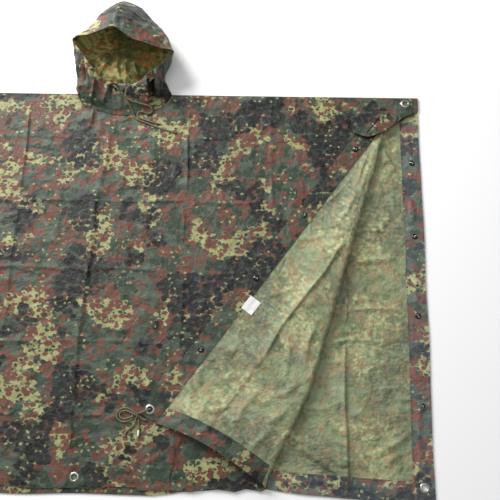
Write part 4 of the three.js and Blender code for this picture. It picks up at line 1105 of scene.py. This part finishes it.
def braid_finish(name):
    """Khaki braid: small slanting strands, with painted shade darkening the gaps between them"""
    finish = Finish(name)
    flat = finish.add("ShaderNodeUVMap", {"uv_map": "cut"}, {})
    strands = finish.add("ShaderNodeTexVoronoi", {"voronoi_dimensions": "2D", "feature": "F1"},
                         {"Vector": finish.stretch(flat, (1, 0.7, 1)), "Scale": 1 / 0.0013})
    cloud = finish.noise(flat, 0.01, 3)
    base = finish.mix(cloud, tone(104, 102, 80), tone(140, 136, 110))
    # Painted shade: darker colour in the gaps between strands, where shade falls
    painted_gap_shade = ((strands - 0.28) * 2.2).clamped()
    finish.shade(Base_Color=finish.mix(painted_gap_shade * 0.75, base, tone(60, 58, 46)), Roughness=0.85 - cloud * 0.1,
                 Specular_IOR_Level=0.2)
    finish.bump(1 - strands, 0.8, 0.0006)
    return finish.material


CORD = braid_finish("cord_braid")
STEEL = plain_finish("eyelet_metal", tone(176, 177, 175), 0.34, 1.0, variation=0.15)
SNAP = plain_finish("snap_metal", tone(58, 58, 60), 0.38, 0.9, variation=0.3)
SPRING = plain_finish("snap_spring", tone(216, 216, 212), 0.25, 1.0, variation=0.1)
PLASTIC = plain_finish("tip_plastic", tone(222, 222, 214), 0.4, variation=0.06)
CARD = plain_finish("label_cloth", tone(226, 228, 226), 0.75, grain=0.0009, variation=0.05)
THREAD = plain_finish("thread", tone(66, 72, 52), 0.8, variation=0.3)


def make_cord(name, route, nodes):
    line, length = smooth_route(route, CORD_PITCH)
    piece = make_tube(name, line, CORD_DIAMETER / 2, CORD)
    stands_for(piece, "cord", *nodes)
    path = in_row(line)
    return piece


def make_knot():
    """A tightened knot, as one strand that runs over and under itself"""
    t = np.linspace(0, 2 * math.pi, 150, endpoint=False)
    shape = np.stack([
        np.sin(t) + 1.7 * np.sin(2 * t), np.cos(t) - 1.7 * np.cos(2 * t), -1.15 * np.sin(3 * t),
    ], axis=1)
    line = KNOT_PLACE + shape * (KNOT_RADII - 1.7) / np.abs(shape).max(axis=0)
    knot = make_tube("tie_knot_turns", line, KNOT_STRAND, CORD, closed=True)
    return stands_for(knot, "cord", "tie_knot")


def make_lathe(name, profile, place, aim, finish, sides=48, cap=False):
    """A turned piece. profile is radius and height; aim is the way that its axis points."""
    aim = np.array(aim, dtype=float) / np.linalg.norm(aim)
    side = np.cross(aim, [0.0, 1.0, 0.1])
    side /= np.linalg.norm(side)
    other = np.cross(aim, side)
    turns = np.arange(sides) * 2 * math.pi / sides
    points = []
    for radius, height in profile:
        ring = np.cos(turns)[:, None] * side + np.sin(turns)[:, None] * other
        points.append(np.array(place, dtype=float) + ring * radius + aim * height)
    number = np.arange(len(profile) * sides).reshape(-1, sides)
    here, after = (number[:-1], number[1:]) if cap else (number, np.roll(number, -1, axis=0))
    faces = np.stack([here, np.roll(here, -1, 1), np.roll(after, -1, 1), after], axis=2)
    faces = faces.reshape(-1, 4).tolist()
    if cap:
        faces += [number[0][::-1].tolist(), number[-1].tolist()]
    return make_piece(name, np.concatenate(points), faces, (finish,))


def make_tip():
    heading = np.array([0.0, -1.0, 0.0])
    end = np.array(TIE_CORDS["end_tipped"][-1]) + heading * 0.3
    end[2] = 6.9
    profile = [(0.6, 0.1), (2.0, 0.0), (TIP_RADIUS, 0.4), (TIP_RADIUS, 11.6), (2.0, 12.6), (1.2, TIP_LENGTH)]
    tip = make_lathe("tie_tip_cap", profile, end, heading, PLASTIC, 32, cap=True)
    return stands_for(tip, "tip_plastic", "tie_tip")


knot = make_knot()
tip = make_tip()
for side, route in HOOD_CORDS.items():
    make_cord(f"hood_cord_{side}_braid", route, (f"hood_cord_{side}",))
make_cord("tie_neck_braid", TIE_CORDS["neck"], ("tie_neck",))
make_cord("tie_loop_outer_braid", TIE_CORDS["loop_outer"], ("tie_loop_outer",))
make_cord("tie_loop_inner_braid", TIE_CORDS["loop_inner"], ("tie_loop_inner",))
make_cord("tie_end_plain_braid", TIE_CORDS["end_plain"], ("tie_wrap", "tie_end_plain"))
make_cord("tie_end_tipped_braid", TIE_CORDS["end_tipped"], ("tie_end_tipped",))


# Hood

HOOD_SECTIONS = [
    # rim, belly, foot, bow of the wall between rim and belly
    ([15, 128, 105], [13, 256, 20], [14, 250], 20),
    ([-15, 121, 98], [-31, 219, 28], [-27, 212], 16),
    ([-49, 117, 85], [-50, 173, 38], [-43, 168], 10),
    ([-78, 121, 73], [-77, 139, 42], [-65, 137], 5),
    ([-93, 114, 65], [-95, 112, 38], [-84, 109], 2),
    ([-68, 82, 64], [-90, 76, 34], [-80, 76], 6),
    ([-50, 56, 60], [-85, 50, 36], [-76, 48], 7),
    ([-35, 39, 55], [-81, 28, 24], [-75, 26], 8),
    ([-25, 24, 46], [-86, 5, 11], [-85, 1], 8),
    ([-10, 20, 40], [-60, -21, 13], [-66, -34], 5),
    ([14, 14, 34], [-13, -36, 12], [-20, -49], 4),
    ([46, 14, 30], [36, -44, 12], [36, -58], 4),
    ([71, 18, 34], [86, -36, 13], [92, -49], 5),
    ([87, 26, 44], [122, -21, 15], [130, -34], 6),
    ([100, 33, 52], [144, 5, 12], [151, 1], 7),
    ([124, 46, 62], [135, 32, 27], [133, 29], 4),
    ([144, 61, 68], [138, 57, 41], [132, 56], 2),
    ([161, 80, 75], [155, 84, 49], [142, 84], 1),
    ([130, 83, 85], [149, 113, 54], [137, 112], 6),
    ([96, 90, 94], [126, 156, 44], [117, 152], 12),
    ([65, 97, 100], [102, 184, 38], [94, 181], 16),
    ([41, 113, 104], [62, 234, 26], [57, 228], 20),
]
HOOD_NECK = {9: [-64, -11], 10: [-22, -13.7], 11: [34, -13.7], 12: [90, -13.7], 13: [130, -11]}
HOOD_MIDDLE = np.array([34.0, 100.0, 1.0])
THROAT_HEIGHT = 5.96
CASING_WIDTH = 20.0
CASING_ROWS = 9
CASING_PRINT = np.array([400.0, 300.0])
CHIN_SECTION = 11
HOOD_COLUMNS = 264
HOOD_PRINT = np.array([3300.0, 5100.0])

WALL_CREASES = [
    ([(97, 44), (105, 26), (110, 6), (111, -12), (106, -28)], 6, -32, 0),
    ([(88, 38), (95, 22), (99, 2), (99, -16), (95, -30)], 5, 8, 0.4),
    ([(112, 42), (118, 24), (123, 4), (122, -14)], 5, 9, -0.2),
    ([(-84, 60), (-80, 30), (-72, 2)], 4, 5, 0.4),
    ([(-58, 66), (-62, 40), (-60, 10)], 3.5, -6, 0),
    ([(-32, 30), (-38, 0), (-44, -24)], 3.5, 5, 0.4),
    ([(8, 10), (4, -10), (8, -40)], 3.5, -5, 0),
    ([(34, 6), (34, -14), (28, -44)], 3.5, 5, 0.4),
    ([(66, 12), (62, -12), (58, -44)], 3.5, -5, 0),
    ([(132, 50), (134, 30), (132, 8)], 3.5, -5, 0),
    ([(118, 38), (124, 18), (122, -6)], 6, 5, 0),
    ([(-40, 40), (-28, 2), (-18, -28)], 4, -4, 0),
    ([(-70, 62), (-52, 30), (-42, -4)], 4.5, -5, 0.3),
    ([(-62, 20), (-50, -10), (-40, -40)], 4, 3.2, 0),
    ([(-90, 96), (-74, 70), (-60, 44), (-44, 28)], 3.5, 2.4, 0),
    ([(0, 12), (-10, -14), (-16, -34)], 4, 3, 0),
    ([(22, 8), (18, -16), (20, -44)], 5, -3, 0),
    ([(60, 8), (66, -16), (72, -40)], 5, 3, 0),
    ([(78, 12), (88, -8), (98, -34)], 4, 3, 0.3),
    ([(44, 8), (46, -18), (44, -44)], 5, 2.4, 0),
    ([(120, 38), (128, 16), (130, -8)], 4, 3, 0),
    ([(-8, 132), (-20, 160), (-28, 196)], 6, 3, 0),
    ([(18, 132), (20, 180), (14, 240)], 5, 2.2, 0.3),
    ([(40, 120), (56, 160), (62, 214)], 7, 3, 0),
    ([(74, 104), (92, 140), (100, 176)], 6, 3, 0),
    ([(100, 96), (124, 118), (134, 140)], 6, 2.4, 0),
    ([(-46, 122), (-54, 140), (-52, 166)], 5, 2.4, 0),
    ([(-20, 150), (10, 158), (50, 152), (90, 140)], 12, 2, 0),
    ([(-10, 190), (20, 196), (60, 188)], 12, 2, 0),
]
LINING_CREASES = [
    ([(14, 118), (16, 96), (14, 64), (22, 30)], 6, 6, 0.5),
    ([(-40, 112), (-32, 84), (-44, 60)], 6, 6, 0.4),
    ([(-20, 118), (-14, 92), (-26, 66), (-34, 52)], 7, 7, 0),
    ([(0, 108), (-10, 78), (-30, 48)], 5, 5, -0.4),
    ([(38, 90), (36, 64), (40, 32)], 5, 5, 0),
    ([(62, 84), (60, 60), (70, 34)], 5, 6, 0.4),
    ([(84, 80), (82, 58), (74, 40)], 5, 6, 0),
    ([(26, 76), (50, 70), (76, 74)], 6, 3.5, 0),
    ([(-62, 104), (-54, 92), (-48, 74)], 5, 5, 0),
    ([(52, 52), (66, 44), (80, 46)], 5, 4, 0),
    ([(106, 66), (98, 58), (90, 44)], 5, 4, 0),
]


def hood_curve(corners, places):
    """A closed smooth curve through one corner of every section"""
    corners = np.array(corners, dtype=float)
    slope = 0.4 * (np.roll(corners, -1, axis=0) - np.roll(corners, 1, axis=0))
    i = np.floor(places).astype(int) % len(corners)
    j = (i + 1) % len(corners)
    t = (places - np.floor(places))[:, None]
    return smooth_between(t, corners[i], slope[i], corners[j], slope[j])


def hood_frame(places):
    """The lines that the hood's wall runs through, and how far it bows out between them"""
    rim = hood_curve([s[0] for s in HOOD_SECTIONS], places)
    belly = hood_curve([s[1] for s in HOOD_SECTIONS], places)
    feet = [s[2] + [THROAT_HEIGHT if k in HOOD_NECK else 1.0] for k, s in enumerate(HOOD_SECTIONS)]
    foot = hood_curve(feet, places)
    base = hood_curve([HOOD_NECK.get(k, s[2]) + [1.0] for k, s in enumerate(HOOD_SECTIONS)], places)
    bow = hood_curve([[s[3]] for s in HOOD_SECTIONS], places)[:, 0]
    return rim, belly, foot, base, bow


def hood_wall(places, share):
    rim, belly, _, _, bow = hood_frame(places)
    point = rim + (belly - rim) * share[..., None]
    point[..., 2] += bow * 4 * share * (1 - share)
    return point


def hood_cut(points):
    """The print's place on the hood: seen from above, with the steep parts laid out flat"""
    away = points[..., :2] - HOOD_MIDDLE[:2]
    away = away / np.maximum(np.linalg.norm(away, axis=-1, keepdims=True), 110)
    return points[..., :2] - 0.3 * points[..., 2:] * away + HOOD_PRINT


def hood_relief(point, wall_share, floor_share):
    """Creases of the wall and of the lining at the bottom of the hood"""
    x, y = point[..., 0], point[..., 1]
    wall = relief(x, y, WALL_CREASES, 71, 3.2, 1.25)
    away = np.hypot((x - 30) / 75, (y - 62) / 48)
    lining = relief(x, y, LINING_CREASES, 81, 4.0, 2.4) + 5.0 * (1 + uneven(x, y, 24, 83))
    lining += 16 * (1 - smooth_step(away, 0.2, 1.1))
    return wall * wall_share, lining * floor_share


def make_hood():
    places = np.arange(HOOD_COLUMNS) * len(HOOD_SECTIONS) / HOOD_COLUMNS
    _, belly, foot, base, _ = hood_frame(places)
    ankle = belly * 0.4 + foot * 0.6
    ankle[:, :2] += 0.12 * (belly - foot)[:, :2]
    rows = [hood_wall(places, np.full(HOOD_COLUMNS, share)) for share in np.linspace(0, 1, 44)]
    for start, end, steps in ((belly, ankle, 5), (ankle, foot, 4), (foot, base, 4)):
        for share in np.linspace(0, 1, steps + 1)[1:]:
            rows.append(start + (end - start) * share)
    floor_start = len(rows)
    for share in np.linspace(0, 0.985, 34)[1:]:
        rows.append(base + (HOOD_MIDDLE - base) * share)
    grid = np.array(rows)
    cut = hood_cut(grid)
    normal = side_normals(grid, closed=True)
    level = np.arange(len(rows))[:, None] + np.zeros((1, HOOD_COLUMNS))
    free = smooth_step(level, 0, 5) * (1 - smooth_step(level, 40, 48))
    on_floor = smooth_step(level, floor_start + 1, floor_start + 9)
    wall, lining = hood_relief(grid, free, on_floor)
    grid = grid + normal * wall[..., None]
    grid[..., 2] = np.maximum(grid[..., 2], 1.3) + np.clip(lining, 0, 36)
    edge_wave_height = 1.2 * uneven(level * 0 + np.arange(HOOD_COLUMNS) * 2.4, level, 14, 91)
    grid[..., 2] += edge_wave_height * (1 - smooth_step(level, 0, 12))
    piece = make_cloth("hood_cloth", grid, cut, HOOD_SIDES, thick=1.2, closed=True)
    return stands_for(piece, "outer_cloth", "hood")


def make_casing():
    """The drawcord's casing, turned to the inside of the mouth and open at the chin"""
    places = CHIN_SECTION + np.linspace(0, 1, 240) * (len(HOOD_SECTIONS) - 1)
    rim, belly = hood_frame(places)[:2]
    width = np.minimum(0.6, CASING_WIDTH / np.linalg.norm(belly - rim, axis=1))
    grid = np.array([hood_wall(places, width * share) for share in np.linspace(0, 1, CASING_ROWS)])
    swell = np.sin(np.linspace(0, math.pi, CASING_ROWS))[:, None] ** 0.5
    grid = grid - side_normals(grid) * (1.9 + 1.2 * swell[..., None])
    cut = hood_cut(grid) + CASING_PRINT
    piece = make_cloth("hood_casing_cloth", grid, cut, HEM_SIDES, thick=0.9)
    return stands_for(piece, "outer_cloth", "hood_casing")


back = make_back()
back_side_hem, back_bottom_hem, covered_hem = make_back_hems()
front = make_plain_front()
turned_front = make_turned_front()
front_side_hem, front_bottom_hem = make_front_hems()
shoulder_fold = make_shoulder_fold()
hood = make_hood()
casing = make_casing()


# Eyelets, snaps, label and stitches

EYELET_PROFILE = [
    (6.2, -1.6), (6.0, 0.2), (6.3, 0.9), (7.2, 1.3), (8.4, 1.2), (9.8, 0.7), (10.7, 0.25), (11, 0.0),
    (10.6, -0.15), (7.4, -0.2), (7.2, -1.6),
]
UPWARD = (0, 0, 1)
CORD_EYELETS = {
    "cord_eyelet_left": ((14.46, 5.7, 33.7), (0.11, -0.246, 0.963)),
    "cord_eyelet_right": ((53.09, 6.06, 31.5), (-0.092, -0.105, 0.990)),
}
SNAP_LINE = 744
SNAPS_UP = (-174, -359, -547, -748)
FLAP_SNAPS = ((607.6, -141.6), (484.6, -312.1), (372.8, -466.9), (252.1, -634.1))
SNAPS = {
    "back": [(SNAP_LINE, up, ON_BACK) for up in SNAPS_UP],
    "left": [(-SNAP_LINE, up, ON_FRONT) for up in SNAPS_UP],
    "front": [(*place, ON_FLAP) for place in FLAP_SNAPS],
}


def make_eyelets():
    for name, place in EYELETS.items():
        eyelet = make_lathe(name + "_ring", EYELET_PROFILE, place, UPWARD, STEEL, 64)
        stands_for(eyelet, "eyelet_metal", name)
    profile = [(radius * 0.5, height * 0.7) for radius, height in EYELET_PROFILE]
    for name, (place, aim) in CORD_EYELETS.items():
        eyelet = make_lathe(name + "_ring", profile, place, aim, SNAP, 40)
        stands_for(eyelet, "eyelet_metal", name)


SOCKET_PROFILE = [
    (7.0, -0.4), (7.0, 0.5), (6.6, 1.1), (5.4, 1.7), (4.6, 2.3), (4.0, 2.4), (3.5, 2.1),
    (3.3, 0.6), (0.2, 0.5),
]


def make_snaps():
    """Sockets: a dark dish with a bright spring wire bent through it"""
    bend = np.linspace(-1, 1, 40)
    wire = np.stack([4.3 * bend, 2.3 * np.sin(bend * 3.4), np.full(40, 2.25)], axis=1)
    named = {f"snap_{side}_{k + 1}": place for side in SNAPS for k, place in enumerate(SNAPS[side])}
    for name, place in named.items():
        socket = make_lathe(name + "_socket", SOCKET_PROFILE, place, UPWARD, SNAP, 40, cap=True)
        stands_for(socket, "snap_metal", name)
        spin = np.array(Matrix.Rotation(0.7 + place[1] * 0.01, 3, "Z"))
        line = np.array(place, dtype=float) + wire @ spin.T
        spring = make_tube(name + "_spring", line, 0.6, SPRING, 8, braid=0.0)


LABEL_ALONG = 0.599
LABEL_LAP = 5.5
LABEL_HALF = (14.5, 18)


def make_label():
    """A blank woven label, its lower corner lifted a little"""
    along = np.array([LABEL_ALONG])
    corner = flap_grid(along, flap_hem_share(along))[0]
    side = -FLAP_SLANT
    out = np.array([side[1], -side[0]])
    wide, tall = LABEL_HALF
    u, v = np.meshgrid(np.linspace(-wide, wide, 24), np.linspace(tall, -tall, 28))
    middle = corner[:2] + out * (wide - LABEL_LAP)
    lift = 1.6 * smooth_step(u, 2, wide) * smooth_step(-v, 2, tall) + 0.35 * uneven(u, v, 9, 5)
    height = 8.7 - 1.2 * smooth_step(u, -8, 6) + lift
    x = middle[0] + out[0] * u + side[0] * v
    y = middle[1] + out[1] * u + side[1] * v
    grid = np.stack([x, y, height], axis=-1)
    label = make_cloth("label_card", grid, np.stack([u, v], axis=-1), (CARD, CARD, CARD), thick=0.6)
    return stands_for(label, "label_cloth", "label")


STITCH_PITCH = 3.6
THREAD_RADIUS = 0.42


def make_stitches(name, lines):
    """Short stitches of thread along lines that lie on the cloth"""
    points, faces = [], []
    for line in lines:
        line, _ = smooth_route(line, STITCH_PITCH)
        for start, end in zip(line[:-1], line[1:]):
            ahead = end - start
            long = np.linalg.norm(ahead)
            ahead = ahead / long
            side = np.cross(ahead, [0, 0, 1.0])
            rise = np.cross(side, ahead)
            first = len(points)
            for run, thick in ((0.1, 0.3), (0.3, 1.0), (0.66, 1.0), (0.86, 0.3)):
                middle = start + ahead * long * run
                for a, b in ((1, 0), (0, 1), (-1, 0), (0, -0.6)):
                    points.append(middle + (side * a + rise * b) * THREAD_RADIUS * thick)
            for k in range(3):
                for m in range(4):
                    n = (m + 1) % 4
                    base = first + 4 * k
                    faces.append((base + m, base + n, base + 4 + n, base + 4 + m))
            faces.append((first + 3, first + 2, first + 1, first))
            faces.append((first + 12, first + 13, first + 14, first + 15))
    return make_piece(name, np.array(points), faces, (THREAD,))


def front_surface(across, up):
    """Points on top of the plain part of the front panel"""
    return np.stack([across, up, FRONT_HEIGHT + 0.55 + front_rise(across, up)], axis=-1)


ON_HEM = np.array([0, 0, HEM_LIFT + 0.45])
BACK_SIDE_SEAM = 722.4
BACK_LOW_SEAM = 907.4
FLAP_LOW_SEAM = 899


def back_seams():
    down = np.linspace(-70, -902, 150)
    across = np.linspace(410, 716, 70)
    side = back_grid(np.full_like(down, BACK_SIDE_SEAM), down)
    low = back_grid(across, np.full_like(across, -BACK_LOW_SEAM))
    return [side + ON_HEM, low + ON_HEM]


def flap_seams():
    along = np.linspace(0.004, 0.996, 160)
    begin = flap_hem_share(along)
    side = flap_grid(along, begin + (1 - begin) * 0.055)
    share = np.linspace(0.06, 0.88, 50)
    row = np.full_like(share, (FLAP_LOW_SEAM - FOLD_START) / (FRONT_LENGTH - FOLD_START))
    low = flap_grid(row, share * flap_hem_share(row))
    return [side + ON_HEM, low + ON_HEM]


def plain_seams():
    across = np.linspace(-760, 392, 240)
    up = np.linspace(-8, -930, 190)
    low = front_surface(across, np.full_like(across, -(FRONT_LENGTH - FRONT_HEM_WIDTH + 1)))
    left = front_surface(np.full_like(up, -(HALF_WIDTH - HEM_WIDTH + 2)), up)
    return [low, left]


def casing_seam():
    places = CHIN_SECTION + 0.1 + np.linspace(0, 1, 200) * (len(HOOD_SECTIONS) - 1.2)
    rim, belly = hood_frame(places)[:2]
    width = np.linalg.norm(belly - rim, axis=1)
    return hood_wall(places, np.minimum(0.55, 17 / width)) + np.array([0, 0, 1.0])


make_eyelets()
make_snaps()
label = make_label()
make_stitches("back_stitches", back_seams())
make_stitches("front_stitches", flap_seams())
make_stitches("plain_hem_stitches", plain_seams())
make_stitches("casing_stitches", [casing_seam()])


# Stage

FLOOR_HALF = 6.0
WORLD_STRENGTH = 0.29
LIGHT_AIM = Vector((0.25, -0.1, 0))
LIGHTS = (
    # name, place, size and power
    ("key_light", (-1.45, 1.7, 1.45), 1.5, 126),
    ("top_light", (0.3, 0.2, 3.0), 2.6, 27),
)


def make_stage():
    mesh = bpy.data.meshes.new("floor")
    corners = [(x * FLOOR_HALF, y * FLOOR_HALF, 0) for x, y in ((-1, -1), (1, -1), (1, 1), (-1, 1))]
    mesh.from_pydata(corners, [], [(0, 1, 2, 3)])
    floor = bpy.data.objects.new("floor", mesh)
    scene.collection.objects.link(floor)
    finish = Finish("pale_floor")
    finish.shade(Base_Color=(0.93, 0.93, 0.93, 1.0), Roughness=0.9)
    mesh.materials.append(finish.material)
    world = bpy.data.worlds.new("studio")
    scene.world = world
    world.use_nodes = True
    background = world.node_tree.nodes["Background"]
    background.inputs["Color"].default_value = (1, 1, 1, 1)
    background.inputs["Strength"].default_value = WORLD_STRENGTH
    for name, place, size, power in LIGHTS:
        data = bpy.data.lights.new(name, "AREA")
        data.energy = power
        data.size = size
        light = bpy.data.objects.new(name, data)
        light.location = place
        light.rotation_euler = (LIGHT_AIM - Vector(place)).to_track_quat("-Z", "Y").to_euler()
        scene.collection.objects.link(light)
    scene.view_settings.view_transform = "Standard"


make_stage()
